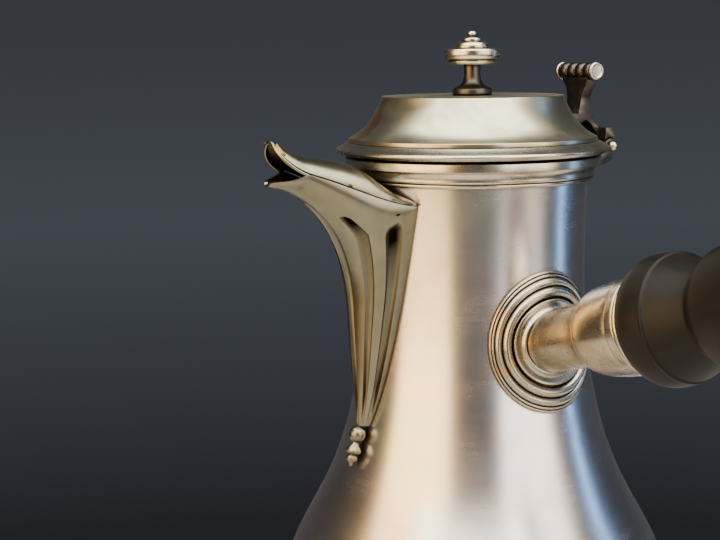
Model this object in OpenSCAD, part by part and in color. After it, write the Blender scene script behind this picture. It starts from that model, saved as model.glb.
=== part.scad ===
// Silver coffee pot: pear-shaped body on three feet, fluted beak spout, hinged lid with a
// turned finial and a thumb roller, and a turned wooden handle set at right angles to the spout.
// Origin on the pot's axis at the table. Spout to -X, hinge to +X, handle close to -Y, +Z up.

/* [Body] */
// Height of the rim above the table
rim_h = 217; // [190:1:250]
// Radius of the neck at its narrowest
neck_r = 37.05; // [32:0.05:42]
// How much the neck opens out up to the rim
neck_flare = 1.6; // [0.8:0.1:3]
// Depth of the narrowest place below the rim
waist_drop = 36; // [28:1:44]
// Radius of the belly at its widest
belly_r = 67; // [60:0.5:76]
// Height of the widest place above the table
belly_h = 58; // [52:1:66]
// Height of the flat bottom above the table
base_h = 24; // [20:1:28]
// Radius of the flat bottom
base_r = 26; // [20:1:36]
// Thickness of the silver wall
wall = 1; // [0.8:0.1:1.4]
// Radius of the strainer holes behind the spout
strainer_r = 1.1; // [0.8:0.1:1.4]

/* [Rim] */
// Outer radius of the rim band
band_r = 42.5; // [41:0.1:46]
// Height of the rim band with its cavetto
band_h = 6.9; // [6:0.1:8]
// Height of the reed wire under the band
reed_h = 1.5; // [1:0.1:2]

/* [Spout] */
// Reach of the lower lip from the pot's axis
spout_reach = 77.2; // [70:0.1:86]
// Depth of the spout's lowest point below the rim
spout_drop_h = 86.6; // [80:0.1:92]
// Half of the angle that the spout covers on the neck at its top
spout_half_angle = 28.8; // [24:0.1:32]
// Thickness of the spout's wall
spout_wall = 1; // [0.8:0.1:1.4]
// Depth of the flutes
flute_depth = 1.1; // [0.4:0.1:1.3]
// Radius of the bead at the foot of the spout
drop_r = 2.8; // [2.2:0.1:3.4]

/* [Lid] */
// Height of the lid's flat top above the rim
lid_h = 19.4; // [16:0.1:24]
// Radius of the lid's flat top
lid_top_r = 30.1; // [26:0.1:34]
// Outer radius of the lid's flange
flange_r = 45.6; // [44.6:0.1:48]
// Height of the flange moulding's top above the rim
flange_h = 4.3; // [3.8:0.1:5.5]
// Gap between the closed lid and the rim
lid_gap = 0.35; // [0.3:0.05:0.6]
// Clearance of the bezel in the neck
bezel_gap = 0.8; // [0.7:0.1:1.2]
// Depth of the bezel below the rim
bezel_h = 6; // [4:0.5:9]

/* [Finial] */
// Radius of the wide disc of the knob
knob_r = 9.7; // [8:0.1:12]
// Height of the stem under the knob
stem_h = 10.1; // [8:0.1:13]
// Radius of the screw that holds the finial
screw_r = 1.5; // [1.2:0.1:2]

/* [Hinge] */
// Distance of the hinge pin from the pot's axis
pin_x = 51; // [50:0.1:54]
// Height of the hinge pin above the rim
pin_h = 0.9; // [0.5:0.1:1.5]
// Radius of the hinge pin
pin_r = 1.1; // [0.9:0.1:1.4]
// Outer radius of the knuckles
knuckle_r = 2.6; // [2.4:0.1:3]
// Width of one knuckle
knuckle_w = 3.7; // [3:0.1:5]
// Running clearance of the pin
pin_gap = 0.05; // [0.03:0.01:0.09]

/* [Thumbpiece] */
// Distance of the thumb roller from the pot's axis
roller_x = 44.8; // [43:0.1:46]
// Height of the thumb roller above the rim
roller_h = 26.6; // [25:0.1:30]
// Radius of the thumb roller's caps
roller_r = 3; // [2.5:0.1:3.5]
// Length of the thumb roller over its caps
roller_w = 19.6; // [16:0.1:24]

/* [Handle] */
// Angle of the handle round the pot from the spout
handle_angle = 94; // [84:1:100]
// Tilt of the handle above level
handle_tilt = 15.1; // [5:0.1:22]
// Depth below the rim at which the handle's line meets the pot's axis
handle_drop = 68.3; // [62:0.1:72]
// Outer radius of the round plate
plate_r = 22.5; // [20:0.1:25]
// Outer radius of the socket's tube
tube_r = 9.9; // [9:0.1:11]
// Distance of the socket's mouth along the handle
socket_end = 85; // [80:0.5:88]
// Distance of the handle's far end along its line
handle_end = 188; // [165:1:200]
// Radius of the wooden bead next to the socket
bead_r = 19.5; // [17.5:0.1:22]
// Radius of the grip at its widest
grip_r = 20; // [18:0.1:23]

/* [Feet] */
// Distance of the foot pads from the pot's axis
pad_x = 66; // [58:1:74]
// Radius of the flat pad under each foot
pad_r = 6; // [5:0.5:8]
// Thickness of the shield plate at the top of each foot
shield_t = 1.6; // [1.2:0.1:2.4]

/* [Hidden] */
round_fn = 96;
hair = 0.02;            // keeps shapes that only touch from crossing
clear = 0.15;           // keeps flat facets that lie on a round body from cutting into it
handle_dir = 180 + handle_angle;
handle_z = rim_h - handle_drop;
waist_h = rim_h - waist_drop;
pin_z = rim_h + pin_h;
band_bottom = rim_h - band_h;
reed_bottom = band_bottom - reed_h;
lid_top = rim_h + lid_h;

function bez(t, a, b, c, d) =
    a * pow(1 - t, 3) + 3 * b * t * pow(1 - t, 2) + 3 * c * t * t * (1 - t) + d * pow(t, 3);
function flip(list) = [for (i = [len(list) - 1:-1:0]) list[i]];

// ---- outline of the body, [radius, height], from the rim down to the flat bottom
neck_pull = 0.703 * (waist_h - belly_h);      // how long the neck stays narrow
belly_pull = 0.362 * (waist_h - belly_h);     // how long the belly stays wide
neck_pts = [for (i = [0:6]) let (u = 1 - i / 6)
    [neck_r + neck_flare * u * u, waist_h + waist_drop * u]];
flank_pts = [for (i = [1:20]) let (t = i / 20)
    [bez(t, neck_r, neck_r, belly_r, belly_r), bez(t, waist_h, waist_h - neck_pull, belly_h + belly_pull,
        belly_h)]];
bowl_pts = [for (i = [1:9]) let (a = 10 * i)
    [base_r + (belly_r - base_r) * cos(a), belly_h - (belly_h - base_h) * sin(a)]];
body_pts = concat(neck_pts, flank_pts, bowl_pts);
body_table = [for (p = flip(body_pts)) [p[1], p[0]]];
function body_r(z) = lookup(z, body_table);

// unit normal of the body's outline at the height z, as [out, up]
function body_n(z) = let (s = (body_r(z + 0.5) - body_r(z - 0.5))) [1, -s] / sqrt(1 + s * s);
// point of the body's surface at an angle and a height, lifted off along its normal
function on_body(angle, z, lift) = let (n = body_n(z), r = body_r(z) + lift * n[0])
    [r * cos(angle), r * sin(angle), z + lift * n[1]];
// the outline moved inwards by d
function inset(pts, d) = [for (i = [0:len(pts) - 1])
    let (a = pts[max(i - 1, 0)], b = pts[min(i + 1, len(pts) - 1)], t = (b - a) / norm(b - a))
    [pts[i][0] + d * t[1], pts[i][1] - d * t[0]]];

module body_solid(grow = 0)
    rotate_extrude($fn = round_fn)
        polygon(concat([[0, rim_h + 1], [body_r(rim_h) + grow, rim_h + 1]],
            [for (p = body_pts) [p[0] + grow, p[1]]], [[0, base_h]]));

// closed skin through rings of equal length: faces[] runs round each ring and along them
module ring_skin(rings) {
    n = len(rings[0]);
    m = len(rings);
    side = [for (i = [0:m - 2], j = [0:n - 1])
        let (a = i * n + j, b = i * n + (j + 1) % n, c = a + n, d = b + n) each [[a, b, c], [b, d, c]]];
    first = n * m;
    ends = [for (j = [0:n - 1]) each
        [[first, (j + 1) % n, j], [first + 1, (m - 1) * n + j, (m - 1) * n + (j + 1) % n]]];
    middle = [for (r = [rings[0],
        rings[m - 1]]) [for (k = [0:2]) let (v = [for (p = r) p[k]]) v * [for (p = r) 1] / n]];
    polyhedron(points = concat([for (r = rings) each r], middle), faces = concat(side, ends));
}
// closed shell through rings made of an outer row and the inner row that runs back under it
module trough_skin(rings) {
    n = len(rings[0]);
    m = len(rings);
    half = n / 2;
    side = [for (i = [0:m - 2], j = [0:n - 1])
        let (a = i * n + j, b = i * n + (j + 1) % n, c = a + n, d = b + n) each [[a, c, b], [b, c, d]]];
    ends = [for (j = [0:half - 2]) let (a = j, b = j + 1, c = n - 1 - j, d = n - 2 - j, e = (m - 1) * n)
        each [[a, b, c], [b, d, c], [e + a, e + c, e + b], [e + b, e + c, e + d]]];
    polyhedron(points = [for (r = rings) each r], faces = concat(side, ends));
}

// ---- vessel ----
strainer_top = 28;
strainer_pitch = 6.5;
module vessel() color("#c9c3b4")
    difference() {
        rotate_extrude($fn = round_fn)
            polygon(concat(body_pts, [[0, base_h], [0, base_h + wall]], flip(inset(body_pts, wall))));
        for (row = [0:6], column = [-1:1])
            translate([0, column * 4.2, rim_h - strainer_top - row * strainer_pitch])
                rotate([0, -90, 0]) cylinder(r = strainer_r, h = belly_r, $fn = 24);
    }

// ---- rim mouldings ----
function hug(z) = body_r(z) + hair;
module rim_band() color("#bdb7a8")
    rotate_extrude($fn = round_fn)
        polygon(concat(
            [[hug(rim_h), rim_h], [band_r - 0.8, rim_h], [band_r, rim_h - 0.7], [band_r, rim_h - 3.3]],
            [for (i = [1:5]) let (a = i * 15)
                [band_r - 0.5 - 1.1 * sin(a), rim_h - 3.3 - (band_h - 4.1) * (1 - cos(a))]],
            [[band_r - 1.5, band_bottom + 0.4], [band_r - 1.9, band_bottom], [hug(band_bottom),
                band_bottom],
                [hug(rim_h - 6), rim_h - 6]]));
module rim_reed() color("#bdb7a8")
    rotate_extrude($fn = round_fn)
        polygon(concat([[hug(band_bottom), band_bottom]],
            [for (i = [0:8]) let (a = 90 - i * 22.5)
                [band_r - 3.3 + reed_h / 2 * cos(a), band_bottom - reed_h / 2 + reed_h / 2 * sin(a)]],
            [[hug(reed_bottom), reed_bottom]]));

// ---- spout ----
// u runs from 0 at the drop to 1 where the beak leaves the neck, 2 at the mouth's corner, 3 at the tip
spout_bottom = rim_h - spout_drop_h;
beak_z = rim_h - 14.3;
tip_shift = spout_reach - 77.2;
function lerp(a, b, t) = a + (b - a) * t;
foot_half_angle = 3;     // half of the angle that the spout covers at its foot
function edge_angle(z) = lerp(foot_half_angle, spout_half_angle,
    pow((z - spout_bottom) / (beak_z - spout_bottom), 0.9));
// half width, distance out and height of the shell's edge
corner = [67 + tip_shift, 9, rim_h - 3];
beak_edge = let (r = body_r(beak_z) + hair)
    [r * cos(spout_half_angle), r * sin(spout_half_angle), beak_z];
function attached_edge(u, inner) = let (z = lerp(spout_bottom, beak_z, u), r = body_r(z) + hair,
        w = r * sin(edge_angle(z)) - min(inner, 0.5 * r * sin(edge_angle(z))))
    [sqrt(r * r - w * w), w, z];
function seam(t) = [bez(t, beak_edge[0], 43.5, 54, corner[0]), bez(t, beak_edge[1], 17.4, 13.6, corner[1]),
    bez(t, beak_z, beak_z + 0.7, rim_h - 7.2, corner[2])];
function lip(t) = [bez(t, corner[0], corner[0] + 4, spout_reach - 1, spout_reach - 0.2),
    bez(t, corner[1], 8, 6, 1), bez(t, corner[2], rim_h - 5, rim_h - 5.4, rim_h - 5.6)];
function hood(t) = [bez(t, corner[0], corner[0] + 4.5, corner[0] + 8.8, corner[0] + 8.5),
    bez(t, corner[1], 9.4, 7.4, 1.2), bez(t, corner[2], rim_h - 1.2, rim_h + 2.5, rim_h + 7.2)];
// the keel is one line from the drop to the lip, [out, height]
function keel(v) = v < 0.42
    ? let (t = v / 0.42) [bez(t, body_r(spout_bottom) + 3.6, 46.2, 46.9, 47.3),
        bez(t, spout_bottom, spout_bottom + 9, rim_h - 63, rim_h - 50)]
    : let (t = (v - 0.42) / 0.58) [bez(t, 47.3, 47.8, 58, spout_reach + 0.2),
        bez(t, rim_h - 50, rim_h - 28, rim_h - 10.5, rim_h - 6.9)];
function keel_at(u) = keel(u < 1 ? lerp(0, 0.66, u) : u < 2 ? lerp(0.66, 0.9, u - 1) : lerp(0.9, 1, u - 2));
flute_tops = [1.78, 1.34, 0.985];
flute_angles = [0, 35, 66];
function bump(x) = x <= -1 || x >= 1 ? 0 : sqrt(1 - x * x);
flute_half_angle = 8.5;
function flute(u, q) = max([for (k = [0:2])
    let (across = bump((abs(q) - flute_angles[k]) / flute_half_angle),
        top = min(max((flute_tops[k] - u) / 0.12, 0), 1))
    across * sqrt(1 - pow(1 - top, 2)) * min(u / 0.25, 1)]);
function shell_pt(u, q, inner) = let (
        e = u < 1 ? attached_edge(u, inner) : u < 2 ? seam(u - 1) : lip(u - 2),
        w = u < 1 ? e[1] : max(e[1] - inner, 0.15 * e[1]),
        k = keel_at(u), reach = [k[0] - e[0], k[1] - e[2]], span = norm(reach),
        cut = flute(u, q) * flute_depth,
        deep = max(span - inner, 0.15 * span), share = (deep - cut * cos(q)) / span)
    [-(e[0] + reach[0] * share * cos(q)), (w - cut * sin(abs(q))) * sin(q),
        e[2] + reach[1] * share * cos(q)];
shell_us = [for (i = [0:12]) i / 12, for (i = [1:10]) 1 + i / 10, for (i = [1:5]) 2 + i / 5];
shell_qs = [for (i = [0:40]) -90 + i * 4.5];
module spout_shell() color("#c3baa6")
    trough_skin([for (u = shell_us) concat([for (q = shell_qs) shell_pt(u, q, 0)],
        [for (q = flip(shell_qs)) shell_pt(u, q, spout_wall)])]);

// ridge of the cover, [out, height], from the neck to the tip of the hood
neck_seat = rim_h - 10.6;
ridge_pts = concat(
    [for (i = [0:8]) let (t = i / 8) [bez(t, body_r(neck_seat) + 0.35, 41.8, 45.5, 50),
        bez(t, neck_seat, rim_h - 8.4, rim_h - 2.2, rim_h - 0.9)]],
    [for (i = [1:10]) let (t = i / 10) [bez(t, 50, 58, 67.5, 75.7) + tip_shift * t,
        bez(t, rim_h - 0.9, rim_h + 1.8, rim_h + 0.2, rim_h + 7.9)]]);
function ridge(out) = [out, lookup(out, ridge_pts)];
function cover_edge(u) = u < 1 ? seam(u) : hood(u - 1);
function ridge_out(u) = u < 1 ? lerp(ridge_pts[0][0], corner[0] - 0.8, u)
    : lerp(corner[0] - 0.8, corner[0] + 8.6, u - 1);
function cover_pt(u, q, inner) = let (e = cover_edge(u), m = ridge(ridge_out(u)), w = max(e[1] - inner,
    0.15 * e[1]),
        reach = [m[0] - e[0], m[1] - e[2]], span = norm(reach), share = max(span - inner,
            0.15 * span) / span,
        neck = max(1 - u / 0.1, 0), z = e[2] + reach[1] * share * cos(q), y = w * sin(q),
        free = e[0] + reach[0] * share * cos(q), seat = sqrt(pow(body_r(z) + hair, 2) - y * y))
    [-lerp(free, seat, neck), y, z];
cover_us = [for (i = [0:12]) i / 12, for (i = [1:6]) 1 + i / 6];
cover_qs = [for (i = [0:16]) -90 + i * 11.25];
module spout_cover() color("#b9b5a6")
    trough_skin([for (u = cover_us) concat([for (q = flip(cover_qs)) cover_pt(u, q, 0)],
        [for (q = cover_qs) cover_pt(u, q, spout_wall)])]);

// turned drop that hangs from the foot of the spout and lies along the body
drop_line = concat([for (i = [0:7]) let (a = i * 22.5) [drop_r * sin(a), drop_r * (1 - cos(a))]],
    [[1.2, 5.8], [2.2, 7.3], [2.6, 8.2], [2.2, 9], [1.1, 9.4], [1.8, 10.3], [1.6, 11.4], [0.8, 12.1],
        [0.6, 12.9],
        [0, 13.6]]);
drop_tilt = atan((body_r(spout_bottom - 12) - body_r(spout_bottom)) / 12);
module spout_drop() color("#c3baa6")
    translate([-body_r(spout_bottom - drop_r) - drop_r - 0.15, 0, spout_bottom - drop_r]) rotate([0,
        drop_tilt, 0])
        mirror([0, 0, 1]) translate([0, 0, -drop_r]) rotate_extrude($fn = 40) polygon(drop_line);

// ---- feet: one under the handle and two to either side ----
foot_angles = [for (k = [0:2]) handle_dir + 120 * k];
shield_z = belly_h - 16;
// outline of the shield, polar about its middle, as [sideways, up]
function shield_edge(a) = let (r = 13 + 3 * cos(3 * (a - 90))) [r * cos(a) * 0.85, r * sin(a)];
function shield_pt(dir, a, scale, lift) = let (p = shield_edge(a) * scale, z = shield_z + p[1])
    on_body(dir + p[0] / body_r(z) * 180 / PI, z, lift);
module foot_shield(dir) color("#bdb7a8")
    ring_skin([for (ring = [[0.12, clear], [0.4, clear], [0.7, clear], [0.85, clear], [1, clear], [1, 0.9],
        [0.86, shield_t], [0.7, shield_t], [0.4, shield_t], [0.12, shield_t]])
        [for (i = [0:35]) shield_pt(dir, i * 10, ring[0], ring[1])]]);
// the leg springs from the shield, curls in to the ankle and out to a flat round pad
leg_steps = 12;
leg_root_r = 6;
leg_sides = 24;
pad_h = 2;
function leg_at(t) = let (start = on_body(0, shield_z - 4, shield_t), x = start[0] + 2, z = start[2] - 2)
    [bez(t, x, x + 14, pad_x - 12, pad_x), bez(t, z, z - 4, 16, pad_h)];
function leg_ring(dir, t) = let (p = leg_at(t), d = p - leg_at(t - 0.02), n = t == 1 ? [1, 0] : [-d[1],
    d[0]] / norm(d),
        r = bez(t, leg_root_r, 4.6, 1.4, pad_r))
    [for (k = [0:leg_sides - 1]) let (a = k * 360 / leg_sides, out = p[0] + n[0] * r * cos(a),
        s = r * sin(a))
        [out * cos(dir) - s * sin(dir), out * sin(dir) + s * cos(dir), p[1] + n[1] * r * cos(a)]];
function leg_root(dir, r) = [for (k = [0:leg_sides - 1])
    let (a = k * 360 / leg_sides, z = shield_z - 4 + r * cos(a))
    on_body(dir + r * sin(a) / body_r(z) * 180 / PI, z, shield_t + clear)];
module foot(dir) color("#c3baa6")
    ring_skin(concat([for (share = [0.15, 0.55, 1]) leg_root(dir, share * leg_root_r)],
        [for (i = [1:leg_steps]) leg_ring(dir, i / leg_steps)],
        [[for (p = leg_ring(dir, 1)) p - [0, 0, pad_h]]]));

// ---- handle: round plate, socket, collar, wood and pin, all on one tilted line ----
module along_handle() translate([0, 0, handle_z]) rotate([0, 0, handle_dir]) rotate([0, 90 - handle_tilt,
    0]) children();
plate_z = handle_z + body_r(handle_z) * tan(handle_tilt);
hole_r = tube_r / cos(handle_tilt) + 0.15;
// point of the round plate: r and a are polar about its middle, wrapped round the body;
// the plate is a little narrower round the neck than it is high
plate_side = 0.915;
function plate_pt(r, a, lift) = let (side = r * lerp(1, plate_side, (r - hole_r) / (plate_r - hole_r)))
    on_body(handle_dir + side * sin(a) / body_r(plate_z) * 180 / PI, plate_z + r * cos(a), lift);
// section of the plate's moulding: three fine reeds, a broad bead, a deep groove and a dish, [radius, lift]
plate_section = [[hole_r, clear], [hole_r + 3, clear], [hole_r + 6, clear], [hole_r + 9, clear],
    [plate_r, clear], [plate_r, 1.2],
    [plate_r - 0.6, 1.9], [plate_r - 1.2, 2], [plate_r - 1.5, 1.6], [plate_r - 1.9, 2.4], [plate_r - 2.6,
        2.6],
    [plate_r - 2.9, 2.1], [plate_r - 3.5, 3.6],
    [plate_r - 4.6, 4.5], [plate_r - 5.8, 4.3], [plate_r - 6.6, 3.4], [plate_r - 6.9, 2.3],
        [plate_r - 7.4, 2.3],
    [plate_r - 7.7, 3.8], [plate_r - 8.4, 4.1], [plate_r - 10, 3.3], [hole_r + 0.7, 2.7], [hole_r, 2.5]];
module handle_plate() color("#c3baa6") {
    n = len(plate_section);
    turns = 60;
    pts = [for (i = [0:turns - 1]) each [for (p = plate_section) plate_pt(p[0], i * 360 / turns, p[1])]];
    faces = [for (i = [0:turns - 1], j = [0:n - 1])
        let (a = i * n + j, b = i * n + (j + 1) % n, c = ((i + 1) % turns) * n + j,
            d = ((i + 1) % turns) * n + (j + 1) % n)
        each [[a, c, b], [b, c, d]]];
    polyhedron(points = pts, faces = faces);
}
socket_start = neck_r + 1;
cup_l = 20;
cup_start = socket_end - cup_l;
// outer line of the socket, [radius, distance along]
socket_line = concat([[tube_r, socket_start], [tube_r - 0.1, socket_start + 12], [tube_r + 0.4,
    cup_start - 7],
    [tube_r + 1.5, cup_start - 2], [tube_r + 2, cup_start]],
    [for (i = [1:8]) let (a = i * 11.25) [tube_r + 2.3 + 2.6 * sin(a), cup_start + cup_l * (1 - cos(a))]]);
tenon_r = tube_r - wall - 0.05;
pin_s = cup_start + 6;
module handle_socket() color("#a89a80")
    difference() {
        along_handle() difference() {
            rotate_extrude($fn = 64)
                polygon(concat(socket_line, flip([for (p = socket_line) [p[0] - wall, p[1]]])));
            translate([0, 0, pin_s]) rotate([0, 90, 0]) cylinder(r = 1, h = 60, center = true, $fn = 24);
        }
        body_solid(hair);
    }
mouth_r = tube_r + 4.9;
collar_w = 3.4;
module socket_collar() color("#8f8168")
    along_handle() translate([0, 0, socket_end]) rotate_extrude($fn = 64)
        polygon([[mouth_r - 3, 0], [mouth_r + 0.3, 0], [mouth_r + 0.7, 0.4], [mouth_r + 0.7, 0.9],
            [mouth_r + 0.2, 1.3],
            [mouth_r + 0.9, 1.8], [mouth_r + 1.2, 2.4], [mouth_r + 0.9, 3], [mouth_r + 0.5, collar_w],
                [mouth_r - 3, collar_w]]);
wood_start = socket_end + collar_w;
bead_mid = wood_start + 6.6;
waist_at = bead_mid + 19;
neck_of_grip = 14.4;
grip_mid = lerp(waist_at, handle_end, 0.4);
wood_line = concat(
    [[mouth_r + 0.4, wood_start], [mouth_r + 2.2, wood_start + 0.9], [bead_r - 1, bead_mid - 3.8],
        [bead_r - 0.3, bead_mid - 1.8],
        [bead_r, bead_mid], [bead_r - 0.1, bead_mid + 3], [bead_r - 0.6, bead_mid + 6], [bead_r - 0.95,
            bead_mid + 6.2],
        [bead_r - 0.9, bead_mid + 6.8], [bead_r - 1.8, bead_mid + 9], [bead_r - 3.6, bead_mid + 12],
            [neck_of_grip + 0.3, waist_at - 1.6],
        [neck_of_grip, waist_at], [neck_of_grip + 0.7, waist_at + 1.6], [neck_of_grip + 2.3,
            waist_at + 4.2]],
    [for (i = [1:6]) let (t = i / 6) [bez(t, neck_of_grip + 2.3, neck_of_grip + 4.4, grip_r, grip_r),
        lerp(waist_at + 4.2, grip_mid, t)]],
    [for (i = [1:8]) let (a = i * 90 / 8) [grip_r - 13 + 13 * cos(a), lerp(grip_mid, handle_end, sin(a))]]);
module wooden_handle() color("#33261d")
    difference() {
        along_handle() {
            rotate_extrude($fn = 64) polygon(concat([[0, wood_start]], wood_line, [[0, handle_end]]));
            translate([0, 0, socket_start + 14]) cylinder(r = tenon_r,
                h = wood_start - socket_start - 14, $fn = 48);
        }
        along_handle() translate([0, 0, pin_s]) rotate([0, 90, 0]) cylinder(r = 1, h = 60, center = true,
            $fn = 24);
    }
module handle_pin() color("#a89a80")
    along_handle() translate([0, 0, pin_s]) rotate([0, 90, 0])
        cylinder(r = 1, h = 2 * lookup(pin_s, [for (p = socket_line) [p[1], p[0]]]) + 0.4, center = true,
            $fn = 24);

// ---- hinge ----
knuckle_gap = 0.3;
hinge_w = 5 * knuckle_w + 4 * knuckle_gap;
knuckle_pitch = knuckle_w + knuckle_gap;
module barrel(middle, r, w) translate([pin_x, middle, pin_z]) rotate([90, 0, 0]) cylinder(r = r, h = w,
    center = true, $fn = 48);
module across(points, w) rotate([90, 0, 0]) linear_extrude(height = w, center = true) polygon(points);
module pin_bore() barrel(0, pin_r + pin_gap, hinge_w + 2);
module hinge_bracket() color("#bdb7a8")
    difference() {
        union() {
            across([[band_r - 3, rim_h - 0.6], [pin_x - 2, rim_h - 0.6], [pin_x, pin_z - 0.2],
                [pin_x + 1.2, pin_z - 1.8],
                [pin_x + 0.6, rim_h - 3.6], [pin_x - 3, rim_h - 5.2], [band_r - 3, band_bottom + 0.1]],
                    hinge_w);
            for (k = [-2, 0, 2]) barrel(k * knuckle_pitch, knuckle_r, knuckle_w);
        }
        for (k = [-1, 1]) barrel(k * knuckle_pitch, knuckle_r + knuckle_gap, knuckle_w + 2 * knuckle_gap);
        pin_bore();
        rotate_extrude($fn = round_fn) polygon([[0, band_bottom - 1], [band_r - 1.9, band_bottom - 1],
            [band_r - 1.9, band_bottom],
            [band_r - 1.5, band_bottom + 0.4], [band_r - 1, rim_h - 4.6], [band_r + hair, rim_h - 3.3],
            [band_r + hair, rim_h + 5], [0, rim_h + 5]]);
    }
module hinge_pin() color("#cfcabd") barrel(0, pin_r, hinge_w);
module hinge_pin_ends() color("#cfcabd")
    for (side = [-1, 1]) translate([pin_x, side * hinge_w / 2, pin_z]) rotate([-90 * side, 0, 0])
        rotate_extrude($fn = 32) polygon(concat([[0, 0]],
            [for (i = [0:8]) let (a = -40 + i * 16.25) [1.6 * cos(a), 1.05 + 1.6 * sin(a)]], [[0, 2.65]]));

// ---- lid ----
flange_bottom = rim_h + lid_gap;
flange_top = rim_h + flange_h;
skirt_r = flange_r - 4.4;
neck_in = body_r(rim_h) - wall;
bezel_r = neck_in - bezel_gap;
lid_line = [for (i = [0:9]) let (t = i / 9)
    [bez(t, skirt_r, skirt_r - 4.7, lid_top_r + 2.3, lid_top_r), bez(t, flange_top + 1.4,
        flange_top + 3.3, lid_top - 6.9, lid_top)]];
flange_line = [[bezel_r, flange_bottom], [flange_r - 2.8, flange_bottom], [flange_r - 0.5, rim_h + 0.95],
    [flange_r, rim_h + 1.7], [flange_r - 0.4, rim_h + 2.5], [flange_r - 1.9, rim_h + 3.3],
        [flange_r - 3.1, flange_top - 0.2],
    [skirt_r, flange_top], [bezel_r, flange_top]];
module lid_shell() color("#b3b09f")
    difference() {
        rotate_extrude($fn = round_fn)
            polygon(concat([[skirt_r, flange_top]], lid_line, [[0, lid_top], [0, lid_top - wall]],
                flip(inset(lid_line, -wall)), [[skirt_r - wall, flange_top]]));
        translate([0, 0, lid_top - wall - 1]) cylinder(r = screw_r + 0.1, h = wall + 2, $fn = 32);
    }
module lid_flange() color("#c3baa6") rotate_extrude($fn = round_fn) polygon(flange_line);
module lid_bezel() color("#bdb7a8")
    rotate_extrude($fn = round_fn)
        polygon([[bezel_r - wall, flange_top], [bezel_r - 0.01, flange_top], [bezel_r - 0.01, rim_h - 1],
            [bezel_r - 0.5, rim_h - bezel_h], [bezel_r - wall - 0.5, rim_h - bezel_h]]);
module lid_outside()
    rotate_extrude($fn = round_fn)
        polygon(concat([[0, flange_bottom - 3], [skirt_r - 8, flange_bottom - 3], [skirt_r - 8,
            flange_bottom]],
            [for (i = [1:7]) flange_line[i] + [hair, 0]], [for (p = lid_line) p + [hair, 0]], [[0,
                lid_top]]));
leaf_w = 10;
leaf_top = flange_top + 7.9;
module lid_leaf() color("#a39d8c")
    difference() {
        union() {
            across([[lid_top_r + 2, leaf_top - 3], [lid_top_r + 3, leaf_top], [roller_x, leaf_top],
                [roller_x + 1.8, leaf_top - 0.8],
                [pin_x - 3.6, leaf_top - 2.6], [pin_x - 1.6, leaf_top - 4.6], [pin_x - 1.6,
                    flange_top + 0.4],
                [pin_x - 2.6, flange_top + 1], [pin_x - 3.4, flange_top + 2.4], [pin_x - 5.2,
                    flange_top + 4.6],
                [pin_x - 7, flange_top + 5.6], [skirt_r - 3, flange_top + 3.4], [skirt_r - 6,
                    flange_top + 1.4]], leaf_w);
            across([[pin_x - 1.9, pin_z], [pin_x + 2.2, pin_z], [pin_x + 2.2, leaf_top - 5.4],
                [pin_x + 1.6, leaf_top - 5],
                [pin_x - 1.9, leaf_top - 5]], hinge_w - 1);
            for (k = [-1, 1]) barrel(k * knuckle_pitch, knuckle_r, knuckle_w);
        }
        for (k = [-2, 0, 2]) barrel(k * knuckle_pitch, knuckle_r + knuckle_gap,
            knuckle_w + 2 * knuckle_gap);
        pin_bore();
        lid_outside();
    }

// ---- thumbpiece ----
roller_z = rim_h + roller_h;
module thumb_bracket() color("#a39d8c")
    difference() {
        intersection() {
            across([[roller_x - 4, leaf_top], [roller_x, leaf_top], [roller_x + 1.2, leaf_top + 1.2],
                [roller_x + 1.4, leaf_top + 3.4],
                [roller_x + 1.9, leaf_top + 6.6], [roller_x + 2.6, leaf_top + 9.4], [roller_x + 2.9,
                    roller_z - 2],
                [roller_x + 2, roller_z - 0.4], [roller_x - 2.2, roller_z - 1.4], [roller_x - 1.6,
                    leaf_top + 9.4],
                [roller_x - 2, leaf_top + 6.6], [roller_x - 2.4, leaf_top + 3.6], [roller_x - 3.2,
                    leaf_top + 1.4]], 16);
            translate([0, 0, leaf_top]) rotate([90, 0, 90]) linear_extrude(height = 2 * roller_x)
                polygon([[-5, 0], [5, 0], [4.4, 1.6], [3.8, 3.6], [4, 6], [5, 8.6], [6.6, 11], [7, 16],
                    [-7, 16], [-6.6, 11],
                    [-5, 8.6], [-4, 6], [-3.8, 3.6], [-4.4, 1.6]]);
        }
        translate([roller_x, 0, roller_z]) rotate([90, 0, 0]) cylinder(r = roller_r - 0.1 + hair, h = 20,
            center = true, $fn = 48);
    }
cap_w = 1.4;
rib_count = 4;
module thumb_roller() color("#b9b5a6")
    translate([roller_x, 0, roller_z]) rotate([90, 0, 0]) translate([0, 0, cap_w - roller_w / 2])
        rotate_extrude($fn = 48) polygon(concat([[0, 0]],
            [for (k = [0:rib_count - 1]) let (w = (roller_w - 2 * cap_w) / rib_count)
                each [[roller_r - 0.7, k * w], [roller_r - 0.15, k * w + w * 0.25], [roller_r - 0.1,
                    k * w + w * 0.5],
                    [roller_r - 0.15, k * w + w * 0.75]]],
            [[roller_r - 0.7, roller_w - 2 * cap_w], [0, roller_w - 2 * cap_w]]));
module roller_caps() color("#cfcabd")
    for (side = [-1, 1]) translate([roller_x, side * (roller_w / 2 - cap_w),
        roller_z]) rotate([-90 * side, 0, 0])
        rotate_extrude($fn = 48)
            polygon([[0, 0], [roller_r - 0.2, 0], [roller_r, 0.3], [roller_r, cap_w - 0.3],
                [roller_r - 0.3, cap_w],
                [roller_r - 0.9, cap_w], [roller_r - 1.2, cap_w - 0.5], [0, cap_w - 0.4]]);

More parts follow.
